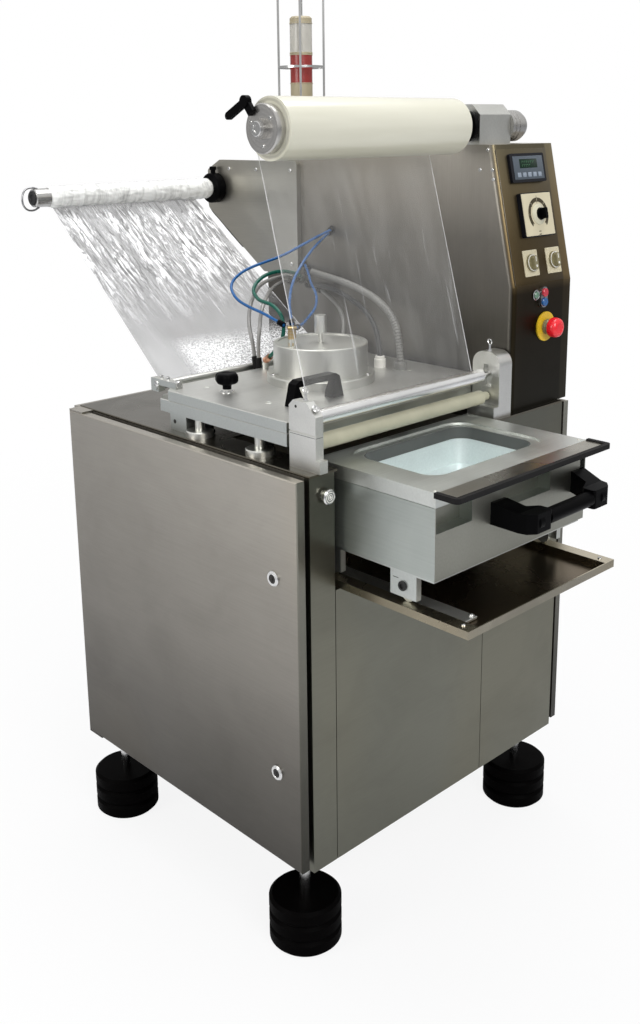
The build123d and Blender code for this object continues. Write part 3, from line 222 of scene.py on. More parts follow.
def turned_metal(colour, rough, axis, depth=0.1):
    """Turned metal: rings round its axis, with a slightly uneven tone."""
    material, tree, base = shader(colour, 1.0, rough)
    rings = rings_round(tree, axis, 0.05 / 0.0012, Distortion=0.4)
    wide = texture(tree, "Noise", 10, Detail=3)
    tone = ramp(tree, wide, ((0.3, scaled(colour, 0.88)), (0.7, scaled(colour, 1.1))))
    feed(tree, base, Base_Color=times(tree, tone, ramp(tree, rings, ((0.2, 0.93), (0.8, 1.0)))))
    bump(tree, base, rings, depth, 0.0003)
    return material


def moulded(colour, rough, scale=420, strength=0.1, spread=0.1, metal=0.0, **sockets):
    """Moulded plastic or rubber with a fine grain and a slightly uneven tone."""
    material, tree, base = shader(colour, metal, rough, **sockets)
    fine = texture(tree, "Noise", scale, Detail=2)
    wide = texture(tree, "Noise", 16, Detail=3)
    tone = ramp(tree, wide, ((0.33, scaled(colour, 1 - spread)), (0.68, scaled(colour, 1 + spread))))
    feed(tree, base, Base_Color=tone, Roughness=ramp(tree, wide, ((0.3, rough - 0.04), (0.7, rough + 0.07))))
    bump(tree, base, fine, strength, 0.0004)
    return material


# The film's run: its sides in millimetres, and its slopes before and behind the head
FILM_SIDES = (52, 491)
SUPPLY_SLOPE = math.atan2(1295.7 - 831.3, 179.5 - 50.5)
WASTE_SLOPE = math.atan2(1147 - 822, 925 - 482)


def clear_film(slope, shade, clearness, streaks, creased=None):
    """Thin clear film: see-through, with pale streaks along its run that are painted highlights, dark ones that
    are painted shade, and bright cut edges that are painted highlights.

    clearness = (alpha between streaks, alpha in them); creased = (low, high) in metres of Y
    over which the streaks grow denser."""
    material, tree, base = shader((0.9, 0.9, 0.9), 0.0, 0.12)
    turn = (slope, 0, 0)
    fine = texture(tree, "Noise", streaks, (1, 22, 22), turn, Detail=3, Roughness=0.6, Distortion=0.4)
    sharp = texture(tree, "Noise", streaks * 1.7, (1, 7, 7), turn, Detail=4, Roughness=0.7, Distortion=1.0)
    broad = texture(tree, "Noise", 24, (1, 4, 4), turn, Detail=4, Roughness=0.6, Distortion=1.2)
    # Painted highlights: pale streaks where the film's crinkles would catch the light.
    white = ramp(tree, fine, ((0.66, 0.0), (0.74, 0.8)))
    dark = 0.0
    if creased:
        low, high = creased
        grown = along(tree, "Y", low, high, ((0.25, 0.0), (0.6, 1.0)))
        # Painted highlights: white flashes that grow where the film is creased.
        flashes = times(tree, ramp(tree, sharp, ((0.50, 0.0), (0.55, 1.0))),
                        ramp(tree, broad, ((0.42, 0.1), (0.55, 1.0))))
        white = mixed(tree, grown, white, lighter(tree, white, flashes))
        # Painted shade in the creases.
        dark = times(tree, grown, ramp(tree, sharp, ((0.40, 1.0), (0.47, 0.0))))
        # Painted highlights near the head: fine white cells.
        cells = texture(tree, "Noise", 260, Detail=2, Roughness=0.5)
        near_head = times(tree, along(tree, "Y", low, low + 0.09, ((0.6, 1.0), (1.0, 0.0))),
                          along(tree, "X", -0.235, -0.20, ((0.0, 0.0), (1.0, 1.0))))
        white = lighter(tree, white, times(tree, near_head, ramp(tree, cells, ((0.40, 0.25), (0.56, 1.0)))))
    # Painted highlights along the cut edges.
    across = ranged(tree, coordinate(tree, "X"), *(side * MM + LEFT for side in FILM_SIDES))
    rim = ramp(tree, across, ((0.0, 1.0), (0.007, 0.0), (0.993, 0.0), (1.0, 1.0)))
    grey = ramp(tree, broad, ((0.35, scaled(shade, 0.75)), (0.65, scaled(shade, 1.25))))
    grey = mixed(tree, dark, grey, scaled(shade, 0.35))
    alpha = mixed(tree, white, (clearness[0],) * 3, (clearness[1],) * 3)
    alpha = mixed(tree, dark, alpha, (clearness[0] + 0.2,) * 3)
    feed(tree, base, Base_Color=mixed(tree, lighter(tree, white, rim), grey, (0.95, 0.95, 0.95)),
         Alpha=mixed(tree, rim, alpha, (0.8, 0.8, 0.8)), Roughness=ramp(tree, fine, ((0.3, 0.08), (0.7, 0.2))))
    bump(tree, base, broad, 0.25, 0.001)
    return material


def film_on_roll():
    """The supply roll: pale bands along it, and its layers at the ends."""
    material, tree, base = shader((0.58, 0.565, 0.46), 0.0, 0.3, Coat_Weight=0.5, Coat_Roughness=0.15)
    streak = texture(tree, "Noise", 24, (14, 1, 1), Detail=3)
    layers = rings_round(tree, REEL_AXIS, 34, Distortion=1.5, Detail=3)
    tone = ramp(tree, streak, ((0.3, (0.53, 0.515, 0.41)), (0.7, (0.64, 0.625, 0.52))))
    ends = times(tree, tone, ramp(tree, layers, ((0.2, 0.72), (0.8, 1.0))))
    feed(tree, base, Base_Color=mixed(tree, facing(tree, (-1, 0, 0)), tone, ends))
    bump(tree, base, streak, 0.1, 0.0005)
    return material


def film_on_shaft():
    """The waste film wound on the rewinder, in folds, darker in their hollows and paler on their crests:
    painted shade and painted highlights.
    """
    material, tree, base = shader((0.8, 0.8, 0.77), 0.0, 0.16, Coat_Weight=0.6, Coat_Roughness=0.08)
    folds = texture(tree, "Noise", 42, (1, 4, 4), Detail=5, Roughness=0.65, Distortion=1.5)
    feed(tree, base, Base_Color=ramp(
        tree, folds, ((0.32, (0.45, 0.45, 0.44)), (0.45, (0.68, 0.68, 0.65)), (0.58, (0.84, 0.84, 0.81)))))
    bump(tree, base, folds, 0.4, 0.002)
    return material


def column_front(tree):
    """Painted reflection on the column's front: a dark brown shine, paler beside its cover plate."""
    height = along(tree, "Z", 0.95, 1.48, ((0.0, (0.060, 0.053, 0.036)), (0.45, (0.050, 0.036, 0.018)),
                                           (0.5, (0.21, 0.15, 0.072)), (1.0, (0.090, 0.078, 0.050))))
    side = along(tree, "X", 0.20, 0.40,
                 ((0.0, 0.5), (0.03, 1.3), (0.2, 1.0), (0.84, 0.95), (0.86, 1.7), (1.0, 2.1)))
    return times(tree, height, side)


def tray_top(tree):
    """The tray's floor lies in the drawer's shade, and its rails above it catch the light."""
    return along(tree, "Z", 0.735, 0.747, ((0.0, (0.20, 0.155, 0.10)), (1.0, (0.62, 0.56, 0.43))))


ALONG_X, ALONG_Y, ALONG_Z = (40, 1, 1), (1, 40, 1), (1, 1, 40)
TO_LEFT, TO_FRONT, TO_TOP = (-1, 0, 0), (0, -1, 0), (0, 0, 1)
LOOKS = {
    # Painted light and shade: darker towards the bottom, lighter towards the top, and darker on faces towards
    # the front.
    "steel_door": steel(
        (0.33, 0.31, 0.275), 0.33, ALONG_Y,
        ("Z", 0.20, 0.95, ((0.0, 0.23), (0.25, 0.42), (0.5, 0.74), (0.75, 1.0), (1.0, 1.45))),
        dirt=0.06, faces=((TO_FRONT, (0.205, 0.20, 0.17)),)),
    # Painted shade: a little darker towards the bottom and the top.
    "steel_front": steel((0.168, 0.168, 0.138), 0.30, ALONG_X,
                         ("Z", 0.20, 0.95, ((0.0, 0.95), (0.6, 1.0), (0.85, 0.85))), dirt=0.07),
    # Painted reflection and shade: darker towards the bottom, lighter towards the top, its front given a
    # painted reflection of its own.
    "steel_column": steel((0.30, 0.28, 0.245), 0.34, ALONG_Z,
                          ("Z", 0.95, 1.48, ((0.0, 0.30), (0.3, 0.40), (0.65, 0.66), (1.0, 1.5))),
                          dirt=0.07, faces=((TO_FRONT, column_front),)),
    "steel_top": steel((0.15, 0.137, 0.11), 0.24, ALONG_X, bands=1.2),
    "steel_tray": steel((0.27, 0.25, 0.20), 0.24, ALONG_X, bands=1.5, faces=((TO_TOP, tray_top),)),
    "steel_rim": steel((0.42, 0.41, 0.37), 0.24, ALONG_X),
    "steel_plate": steel((0.44, 0.43, 0.39), 0.30, ALONG_Y, dirt=0.07),
    # Painted light: faces towards the left and the top paler.
    "alu_milled": milled((0.50, 0.51, 0.48), 0.36, (30, 1, 1),
                         faces=((TO_LEFT, (0.54, 0.565, 0.545)), (TO_TOP, (0.64, 0.64, 0.61)))),
    # Painted shade: faces towards the front darker.
    "alu_drawer": milled((0.42, 0.45, 0.425), 0.36, (1, 30, 1), faces=((TO_FRONT, (0.30, 0.30, 0.26)),)),
    "alu_mould": milled((0.62, 0.64, 0.61), 0.36, (30, 1, 1)),
    "alu_bright": milled((0.66, 0.66, 0.62), 0.30),
    "alu_insert": milled((0.71, 0.78, 0.77), 0.34, spread=0.04, metal=0.45),
    "alu_bracket": milled((0.70, 0.70, 0.67), 0.36, scale=340),
    # Painted light: the top paler.
    "alu_housing": milled((0.55, 0.55, 0.52), 0.38, (1, 1, 12), spread=0.04,
                          faces=((TO_TOP, (0.60, 0.60, 0.56)),)),
    "reel_turned": turned_metal((0.50, 0.49, 0.47), 0.26, REEL_AXIS),
    "rewind_turned": turned_metal((0.55, 0.545, 0.53), 0.24, REWIND_AXIS),
    "roller_chrome": turned_metal((0.88, 0.88, 0.875), 0.27, ROLLER_AXIS, depth=0.03),
    "chrome": milled((0.70, 0.70, 0.69), 0.15, spread=0.04, scale=500),
    "brass": milled((0.56, 0.42, 0.20), 0.28, spread=0.12),
    "copper": milled((0.55, 0.30, 0.20), 0.3, spread=0.15),
    "black_rubber": moulded((0.007, 0.0065, 0.0065), 0.6, 160, 0.3, Specular_IOR_Level=0.15),
    "foot_rubber": moulded((0.0010, 0.0008, 0.0008), 0.5, 90, 0.3, Specular_IOR_Level=0.02),
    "grey_rubber": moulded((0.075, 0.08, 0.075), 0.5),
    "black_plastic": moulded((0.0012, 0.0012, 0.0014), 0.36, 700, 0.16, Specular_IOR_Level=0.035),
    "screen_black": moulded((0.004, 0.0045, 0.0075), 0.3, 800, 0.03, Specular_IOR_Level=0.2),
    "display_face": moulded((0.075, 0.092, 0.11), 0.35, 800, 0.03, Specular_IOR_Level=0.3),
    "display_key": moulded((0.24, 0.28, 0.33), 0.35, 800, 0.03),
    "display_glass": moulded((0.005, 0.02, 0.01), 0.12, 30, 0.02, Specular_IOR_Level=0.2),
    "display_text": moulded((0.03, 0.12, 0.05), 0.4),
    "dial_ink": moulded((0.05, 0.04, 0.022), 0.5, Specular_IOR_Level=0.2),
    "dial_skirt": moulded((0.55, 0.52, 0.38), 0.25, Coat_Weight=0.4),
    "cream_plastic": moulded((0.58, 0.52, 0.36), 0.32, spread=0.05),
    "olive_plastic": moulded((0.20, 0.175, 0.09), 0.3, Coat_Weight=0.3),
    "red_plastic": moulded((0.78, 0.012, 0.022), 0.28, spread=0.05, Coat_Weight=0.25),
    "red_button": moulded((0.50, 0.02, 0.04), 0.25, Coat_Weight=0.4),
    "blue_plastic": moulded((0.01, 0.10, 0.30), 0.25, Coat_Weight=0.4),
    "green_glass": moulded((0.10, 0.20, 0.13), 0.12, Coat_Weight=0.6),
    "pale_plastic": moulded((0.72, 0.70, 0.64), 0.35),
    "yellow_plastic": moulded((0.72, 0.47, 0.02), 0.34, spread=0.12),
    "beige_plastic": moulded((0.36, 0.31, 0.20), 0.5),
    "cream_rubber": moulded((0.40, 0.385, 0.28), 0.36, 60, 0.08, 0.12),
    "red_lens": moulded((0.30, 0.035, 0.03), 0.2, 60, 0.1, Transmission_Weight=0.25),
    "clear_lens": moulded((0.60, 0.58, 0.52), 0.16, 60, 0.1, Transmission_Weight=0.5),
    "blue_tube": moulded((0.001, 0.075, 0.24), 0.25, 60, 0.04, Specular_IOR_Level=0.35),
    "green_tube": moulded((0.003, 0.085, 0.058), 0.25, 60, 0.04, Specular_IOR_Level=0.35),
    "clear_tube": moulded((0.22, 0.215, 0.205), 0.18, 60, 0.05, Specular_IOR_Level=0.8),
    "grey_tube": moulded((0.15, 0.148, 0.135), 0.35),
    "dark_tube": moulded((0.018, 0.018, 0.018), 0.4, Specular_IOR_Level=0.25),
    # dark_inside is painted shade: it darkens holes and the locks' recesses.
    "dark_inside": moulded((0.012, 0.011, 0.010), 0.7),
    "wire": milled((0.34, 0.34, 0.35), 0.25),
    "roll_film": film_on_roll(),
    "wound_film": film_on_shaft(),
    "supply_look": clear_film(SUPPLY_SLOPE, (0.66, 0.65, 0.62), (0.14, 0.38), 70),
    "sealing_look": clear_film(0, (0.45, 0.45, 0.44), (0.25, 0.6), 60),
    "waste_look": clear_film(WASTE_SLOPE, (0.12, 0.12, 0.12), (0.59, 0.96), 75, (0.132, 0.575)),
}
for name, material in LOOKS.items():
    material.name = name

CAD_LOOKS = {
    "steel_door": ("left_door", "cabinet_body", "fixed_covers"),
    "steel_front": ("front_panels",),
    "steel_column": ("control_column",),
    "steel_top": ("worktop_sheet",),
    "steel_tray": ("runner_tray",),
    "steel_rim": ("rim_strip",),
    "steel_plate": ("rewind_plate",),
    "alu_milled": ("head_lower_plate", "head_upper_plate", "rear_blocks", "drawer_guides"),
    "alu_drawer": ("drawer_box",),
    "alu_mould": ("mould_plate",),
    "alu_insert": ("mould_insert",),
    "alu_bright": ("head_fittings", "head_studs", "reel_bearing"),
    "alu_bracket": ("roller_brackets",),
    "alu_housing": ("heater_housing",),
    "reel_turned": ("reel_shaft", "brake_knob"),
    "rewind_turned": ("rewind_shaft",),
    "roller_chrome": ("upper_roller",),
    "chrome": ("door_locks", "post_knob", "foot_stems", "tower_guard"),
    "wire": ("button_bezels",),
    "black_rubber": ("cover_seals", "rim_edging"),
    "foot_rubber": ("rubber_feet",),
    # The mould's gasket is dark grey, a painted shade of the recess's inner walls.
    "grey_rubber": ("mould_gasket",),
    "black_plastic": ("drawer_handle", "star_knob", "head_handle", "dial_knob", "reel_collar", "clamp_lever",
                    "rewind_collar"),
    "screen_black": ("display_unit",),
    "cream_plastic": ("control_plates",),
    "olive_plastic": ("left_switch", "right_switch"),
    "red_plastic": ("estop_button",),
    "red_button": ("red_button",),
    "blue_plastic": ("blue_button",),
    "green_glass": ("green_lamp",),
    "yellow_plastic": ("estop_disc",),
    "beige_plastic": ("tower_base",),
    "red_lens": ("tower_red_lens",),
    "clear_lens": ("tower_clear_lens",),
    "cream_rubber": ("lower_roller",),
    "roll_film": ("film_roll",),
}
for look, names in CAD_LOOKS.items():
    for name in names:
        slots = cad_nodes[name].data.materials
        slots.clear()
        slots.append(LOOKS[look])


# Building pieces
def stand(x, y, z, axis=(0, 0, 1), across=(1, 0, 0)):
    """From millimetres round a place of the machine, with Z along the axis, to metres."""
    up = Vector(axis).normalized()
    side = Vector(across)
    side = (side - side.dot(up) * up).normalized()
    turned = Matrix((side, up.cross(side), up)).transposed().to_4x4()
    return Matrix.Translation(at(x, y, z)) @ turned @ Matrix.Scale(MM, 4)


def sideways(x, y, z, way):
    """The same with Z to the left (-1) or the right (1)."""
    return stand(x, y, z, (way, 0, 0), (0, 1, 0))


def leftward(x, y, z):
    return sideways(x, y, z, -1)


def welded(build):
    bmesh.ops.remove_doubles(build, verts=build.verts, dist=1e-6)


def skin(build, rows, around=True):
    """Adds the faces between neighbouring rows of points, each closed on itself or open."""
    for lower, upper in zip(rows, rows[1:]):
        count = max(len(lower), len(upper))
        for step in range(count if around else count - 1):
            after = (step + 1) % count
            corners = [lower[step % len(lower)], lower[after % len(lower)],
                       upper[after % len(upper)], upper[step % len(upper)]]
            build.faces.new(list(dict.fromkeys(corners)))


def finished(name, build, look, body="machine", smooth=32):
    """Turns a bmesh into a piece that rides on a body. Its slot holds the look of that name."""
    mesh = bpy.data.meshes.new(name)
    bmesh.ops.recalc_face_normals(build, faces=build.faces)
    build.to_mesh(mesh)
    build.free()
    mesh.materials.append(LOOKS[look])
    mesh.polygons.foreach_set("use_smooth", [True] * len(mesh.polygons))
    mesh.set_sharp_from_angle(angle=math.radians(smooth))
    piece = bpy.data.objects.new(name, mesh)
    scene.collection.objects.link(piece)
    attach(piece, body)
    return piece


def turned(build, profile, place, steps=28, reach=None):
    """Adds a body turned round the place's Z axis from (radius, height) pairs.

    reach(radius, angle) can change the radius on the way round."""
    rows = []
    for radius, height in profile:
        row = []
        for step in range(steps if radius else 1):
            angle = math.tau * step / steps
            size = reach(radius, angle) if reach else radius
            spot = Vector((size * math.cos(angle), size * math.sin(angle), height))
            row.append(build.verts.new(place @ spot))
        rows.append(row)
    skin(build, rows)


def ring(build, inner, outer, height, place, steps=28, edge=0.4):
    """Adds a washer with broken edges."""
    profile = [(inner, 0), (outer, 0), (outer, height - edge), (outer - edge, height), (inner + edge, height),
               (inner, height - edge), (inner, 0)]
    turned(build, profile, place, steps)
    welded(build)


def bar(build, size, place, edge=0.5, segments=2):
    """Adds a bar with rounded edges, its foot centred on the place."""
    made = bmesh.ops.create_cube(build, size=1)["verts"]
    lift = Matrix.Translation((0, 0, size[2] / 2))
    bmesh.ops.transform(build, matrix=lift @ Matrix.Diagonal((*size, 1)), verts=made)
    edges = list(dict.fromkeys(e for vert in made for e in vert.link_edges))  # a set has no fixed order
    rounded = bmesh.ops.bevel(build, geom=edges, offset=edge, segments=segments, profile=0.5, affect="EDGES")
    bmesh.ops.transform(build, matrix=place, verts=list({v for f in rounded["faces"] for v in f.verts}))


def swept(build, points, radius, steps=12, closed=False):
    """Adds a tube along points in metres; radius is a number or a function of the distance run."""
    points = [Vector(point) for point in points]
    count = len(points)
    travelled, rings = 0.0, []
    side = None
    for index, point in enumerate(points):
        before = points[index - 1] if index or closed else point
        after = points[(index + 1) % count] if index + 1 < count or closed else point
        ahead = (after - before).normalized()
        if side is None:
            side = ahead.orthogonal()
        side = (side - side.dot(ahead) * ahead).normalized()
        other = ahead.cross(side)
        if index:
            travelled += (point - points[index - 1]).length
        size = radius(travelled) if callable(radius) else radius
        rings.append([
            build.verts.new(point + size * (math.cos(a) * side + math.sin(a) * other))
            for a in (math.tau * step / steps for step in range(steps))
        ])
    skin(build, rings + rings[:1] if closed else rings)
    if not closed:
        build.faces.new(rings[0])
        build.faces.new(rings[-1])


def soft_line(points, closed=False, steps=10):
    """Points along a smooth curve through places in millimetres."""
    places = [Vector(point) for point in points]
    count = len(places)
    line = []
    for index in range(count if closed else count - 1):
        near = [places[(index + step) % count] if closed else places[min(max(index + step, 0), count - 1)]
                for step in (-1, 0, 1, 2)]
        for step in range(steps):
            t = step / steps
            line.append(0.5 * (2 * near[1] + (near[2] - near[0]) * t
                               + (2 * near[0] - 5 * near[1] + 4 * near[2] - near[3]) * t * t
                               + (3 * near[1] - near[0] - 3 * near[2] + near[3]) * t ** 3))
    if not closed:
        line.append(places[-1])
    return [at(*point) for point in line]


def screw(build, radius, height, place, hole=0.55):
    """Adds a socket head screw."""
    inner = radius * hole
    turned(build, [(radius, 0), (radius, height * 0.8), (radius * 0.9, height), (inner, height),
                   (inner * 0.95, height * 0.35), (0, height * 0.3)], place, 24)


# Hoses: each one's points are the route's in part.py, the green one's eased, in millimetres
def spline_of(name, points, diameter):
    data = bpy.data.curves.new(name, "CURVE")
    data.dimensions = "3D"
    data.resolution_u = 20
    spline = data.splines.new("NURBS")
    spline.points.add(len(points) - 1)
    for control, place in zip(spline.points, points):
        control.co = (*at(*place), 1)
    spline.order_u = 3
    spline.use_endpoint_u = True
    data.bevel_depth = diameter / 2
    data.bevel_resolution = 7
    data.use_fill_caps = True
    piece = bpy.data.objects.new(name, data)
    scene.collection.objects.link(piece)
    return piece


def path_of(name, points):
    """The points of a route's smooth line, read from its NURBS spline."""
    holder = spline_of(f"{name}_line", points, 0)
    holder.data.use_fill_caps = False
    mesh = bpy.data.meshes.new_from_object(holder)
    line = [vert.co.copy() for vert in mesh.vertices]
    bpy.data.objects.remove(holder)
    bpy.data.meshes.remove(mesh)
    return line


def part_of(line, start, end):
    """The stretch of a line between two distances from its start, negative ones from its end."""
    lengths = [0.0]
    for first, second in zip(line, line[1:]):
        lengths.append(lengths[-1] + (second - first).length)
    start, end = (value + lengths[-1] if value < 0 else value for value in (start, end))

    def point(distance):
        for index in range(1, len(line)):
            if lengths[index] >= distance:
                share = (distance - lengths[index - 1]) / (lengths[index] - lengths[index - 1])
                return line[index - 1].lerp(line[index], share)
        return line[-1].copy()

    steps = max(2, round((end - start) / 0.001))
    return [point(start + (end - start) * step / steps) for step in range(steps + 1)]


HOSES = {
    # name: (replaced node, look, slot, diameter, length, points)
    "blue_hose_high": ("blue_hoses", "blue_tube", "blue_plastic", 0.006, 0.555, (
        (567, 517, 1088), (506, 506, 1075), (446, 496, 1060), (386, 492, 1043), (336, 499, 1033),
        (290, 509, 1019), (254, 506, 996), (240, 471, 971), (228, 413, 961), (219, 357, 956), (213, 293, 941))),
    "blue_hose_middle": ("blue_hoses", "blue_tube", "blue_plastic", 0.006, 0.456, (
        (567, 527, 1080), (512, 505, 1064), (464, 489, 1042), (420, 471, 1017), (376, 446, 993),
        (322, 396, 971), (268, 337, 957), (224, 281, 943))),
    "blue_hose_low": ("blue_hoses", "blue_tube", "blue_plastic", 0.006, 0.499, (
        (567, 612, 1002), (540, 572, 991), (504, 526, 972), (472, 472, 955), (424, 424, 936), (372, 394, 924),
        (338, 369, 922), (282, 320, 928), (226, 270, 938))),
    "green_water_hose": ("green_hose", "green_tube", "green_tube", 0.008, 0.554, (
        (567, 619, 964), (508, 562, 985), (452, 537, 1001), (400, 525, 1008), (352, 520, 1000), (314, 505, 979),
        (298, 470, 964), (289, 440, 962), (286, 407, 960), (284, 377, 942), (283, 370, 905), (282, 392, 868),
        (281, 429, 841))),
    "clear_hose_left": ("clear_hoses", "clear_tube", "clear_tube", 0.008, 0.472, (
        (567, 645, 962), (500, 592, 984), (432, 560, 988), (366, 536, 984), (318, 506, 966), (291, 489, 938),
        (282, 480, 907), (281, 466, 870), (280, 455, 804))),
    "clear_hose_right": ("clear_hoses", "clear_tube", "clear_tube", 0.008, 0.4825, (
        (567, 660, 958), (500, 600, 972), (432, 556, 974), (368, 510, 970), (318, 472, 954), (293, 455, 932),
        (282, 446, 903), (277, 447, 870), (277, 443.5, 804))),
    "dark_hose": ("dark_hoses", "dark_tube", "grey_rubber", 0.011, 0.3906, (
        (567, 594, 956), (548, 523, 960), (525, 446, 954), (502, 374, 940), (480, 315, 919), (460, 276, 890),
        (451, 262, 850))),
    "ribbed_hose": ("dark_hoses", "grey_tube", "grey_rubber", 0.015, 0.4605, (
        (567, 594, 986), (545, 494, 981), (520, 398, 973), (496, 313, 958), (478, 250, 929), (466, 222, 886),
        (465, 218, 838))),
    "grey_hose": ("dark_hoses", "grey_tube", "grey_rubber", 0.008, 0.2412, (
        (567, 560, 948), (549, 508, 934), (530, 460, 920), (508, 424, 898), (486, 406, 866), (482, 402, 823))),
}
SLEEVES = {
    # hose: (look, slot, radius, start and end from the hose's end, in metres)
    "clear_hose_left": ("black_rubber", "black_rubber", 0.0062, -0.043, -0.001),
    "clear_hose_right": ("black_rubber", "black_rubber", 0.0062, -0.042, -0.001),
    "green_water_hose": ("copper", "brass", 0.0072, -0.018, -0.001),
    **dict.fromkeys(("blue_hose_high", "blue_hose_middle", "blue_hose_low"),
                    ("black_plastic", "black_plastic", 0.0058, -0.016, -0.001)),
    "grey_hose": ("chrome", "chrome", 0.0065, -0.015, -0.001),
}
RIB_PITCH = 0.0062
COLUMN_SIDE = 565


def ribbed(distance):
    return 0.0077 - 0.0018 * (0.5 - 0.5 * math.cos(math.tau * distance / RIB_PITCH))


for name, (node, look, slot, diameter, length, points) in HOSES.items():
    line = path_of(name, points)
    if name == "ribbed_hose":
        build = bmesh.new()
        swept(build, part_of(line, 0, -0.0001), ribbed, 18)
        hose = finished(name, build, look, smooth=80)
    else:
        hose = spline_of(name, points, diameter)
        hose.data.materials.append(LOOKS[look])
        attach(hose, "machine")
    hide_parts(node)
    if name in SLEEVES:
        sleeve_look, sleeve_slot, radius, start, end = SLEEVES[name]
        build = bmesh.new()

        def grooved(distance, run=end - start, radius=radius):
            return radius - 0.0012 * (distance > run * 0.62) * (distance < run * 0.72)

        swept(build, part_of(line, start, end), grooved, 20)
        finished(f"{name}_sleeve", build, sleeve_look)
    build = bmesh.new()
    exit_place = points[0]
    radius = diameter * 500
    turned(build, [(radius + 0.2, 0), (radius + 5, 0), (radius + 5, 2), (radius + 2.5, 4), (radius + 2, 9),
                   (radius + 0.2, 9.5), (radius + 0.2, 0)],
           leftward(COLUMN_SIDE, *exit_place[1:]), 24)
    welded(build)
    finished(f"{name}_grommet", build, "black_rubber")


# Films
def film(name, ends, look, across, lengthways, shape):
    """A sheet between two lines along X, moved by shape(x, share across, share along) in millimetres."""
    build = bmesh.new()
    (y0, z0), (y1, z1) = ends
    x0, x1 = FILM_SIDES
    normal = Vector((0, -(z1 - z0), y1 - y0)).normalized()
    rows = []
    for step in range(lengthways + 1):
        t = step / lengthways
        row = []
        for column in range(across + 1):
            s = column / across
            x = x0 + (x1 - x0) * s
            off_x, off = shape(x, s, t)
            middle = at(x + off_x, y0 + (y1 - y0) * t, z0 + (z1 - z0) * t)
            row.append(build.verts.new(middle + normal * off * MM))
        rows.append(row)
    skin(build, rows, False)
    piece = finished(name, build, look, smooth=180)
    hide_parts("film_web")
    return piece


def soft_step(value, low, high):
    share = min(1, max(0, (value - low) / (high - low)))
    return share * share * (3 - 2 * share)


def held(t):
    """1 along the run, 0 where a roller or the head holds the film flat."""
    return soft_step(t, 0, 0.06) * (1 - soft_step(t, 0.95, 1))


def supply_shape(x, s, t):
    return 0, held(t) * 0.7 * noise.noise(Vector((x / 24, t * 1.2, 3)))


def sealing_shape(x, s, t):
    return 0, held(t) * 0.25 * noise.noise(Vector((x / 40, t * 3, 9)))


# In millimetres: how far the left edge is drawn in at the wound end, and the sag amid the run
WASTE_PULL = 44
WASTE_SAG = 6


def waste_shape(x, s, t):
    """Long creases that fan out from the wound end, and a soft sag between the edges."""
    grown = soft_step(t, 0.25, 0.8)
    slanted = x + 46 * t
    long_folds = 1 - 2 * abs(noise.noise(Vector((slanted / 21, t * 2.6, 0))))
    fine_folds = noise.noise(Vector((slanted / 7.5, t * 8, 5)))
    broad = noise.noise(Vector((x / 95, t * 2.2, 11)))
    height = grown * (2.0 * long_folds + 0.75 * fine_folds) + 2.2 * broad
    edges = soft_step(s, 0, 0.04) * (1 - soft_step(s, 0.96, 1))
    sag = WASTE_SAG * math.sin(math.pi * t) * math.sin(math.pi * s)
    return WASTE_PULL * t * (1 - s), held(t) * (height * (0.25 + 0.75 * edges) - sag)


film("supply_film", ((179.5, 1295.7), (50.5, 831.3)), "supply_look", 110, 70, supply_shape)
film("sealing_film", ((37, 776), (473, 776)), "sealing_look", 60, 40, sealing_shape)
film("waste_film", ((473, 822), (925, 1147)), "waste_look", 230, 190, waste_shape)

build = bmesh.new()
AROUND, LENGTHWAYS = 56, 190
WOUND_FROM, WOUND_TO = 78, 524
rows = []
for column in range(LENGTHWAYS + 1):
    x = WOUND_FROM + (WOUND_TO - WOUND_FROM) * column / LENGTHWAYS
    ends = soft_step(x, WOUND_FROM, WOUND_FROM + 14) * (1 - soft_step(x, WOUND_TO - 8, WOUND_TO))
    row = []
    for step in range(AROUND):
        angle = math.tau * step / AROUND
        spot = Vector((x / 26, 3.2 * math.cos(angle), 3.2 * math.sin(angle)))
        fold = 1.7 * (1 - 2 * abs(noise.noise(spot))) + 0.8 * noise.noise(spot * 3.1)
        radius = 20.5 + ends * (1.9 + 0.9 * soft_step(x, 60, 480) + fold)
        row.append(build.verts.new(at(x, REWIND_AXIS[0] + radius * math.cos(angle),
                                      REWIND_AXIS[1] + radius * math.sin(angle))))
    rows.append(row)
skin(build, rows)
finished("wound_film", build, "wound_film", body="rewinder", smooth=180)

# Small parts of the column
build = bmesh.new()
for y, z in ((84, 1265), (101, 1227), (71, 1227), (68, 1209)):
    screw(build, 3.6, 2.4, leftward(COLUMN_SIDE, y, z))
finished("column_screws", build, "chrome")

SLANT = math.atan2(60, 273)
FACE_UP = Vector((0, math.sin(SLANT), math.cos(SLANT)))
FACE_OUT = Vector((0, -math.cos(SLANT), math.sin(SLANT)))


def on_face(across, up, out):
    """From millimetres on the slanted face, at a place across, up and out of it, to metres."""
    place = Vector((COLUMN_SIDE + across, 13, 1002)) + FACE_UP * up + FACE_OUT * out
    return stand(*place, FACE_OUT, (1, 0, 0))


for name, size, place, edge, look, slot in (
    ("column_cover", (163, 268, 1.6), (87, 136, -0.1), 0.3, "steel_column", "brushed_stainless"),
    ("display_face", (98, 46, 0.9), (94, 231, 7.8), 0.4, "display_face", "grey_plastic"),
    ("display_window", (58, 18, 0.5), (94, 239, 8.5), 0.2, "display_glass", "grey_plastic"),
):
    build = bmesh.new()
    bar(build, size, on_face(*place), edge)
    finished(name, build, look)
build = bmesh.new()
for row, count in enumerate((6, 4)):
    for index in range(count):
        bar(build, (5, 0.9, 0.15), on_face(75 + 7.2 * index, 243.5 - 7 * row, 8.95), 0.05, 1)
        bar(build, (0.9, 4, 0.15), on_face(73 + 7.2 * index, 241.5 - 7 * row, 8.95), 0.05, 1)
finished("display_digits", build, "display_text")
build = bmesh.new()
for index in range(5):
    bar(build, (11, 9, 1.0), on_face(60 + 17 * index, 217, 8.4), 0.5)
finished("display_keys", build, "display_key")

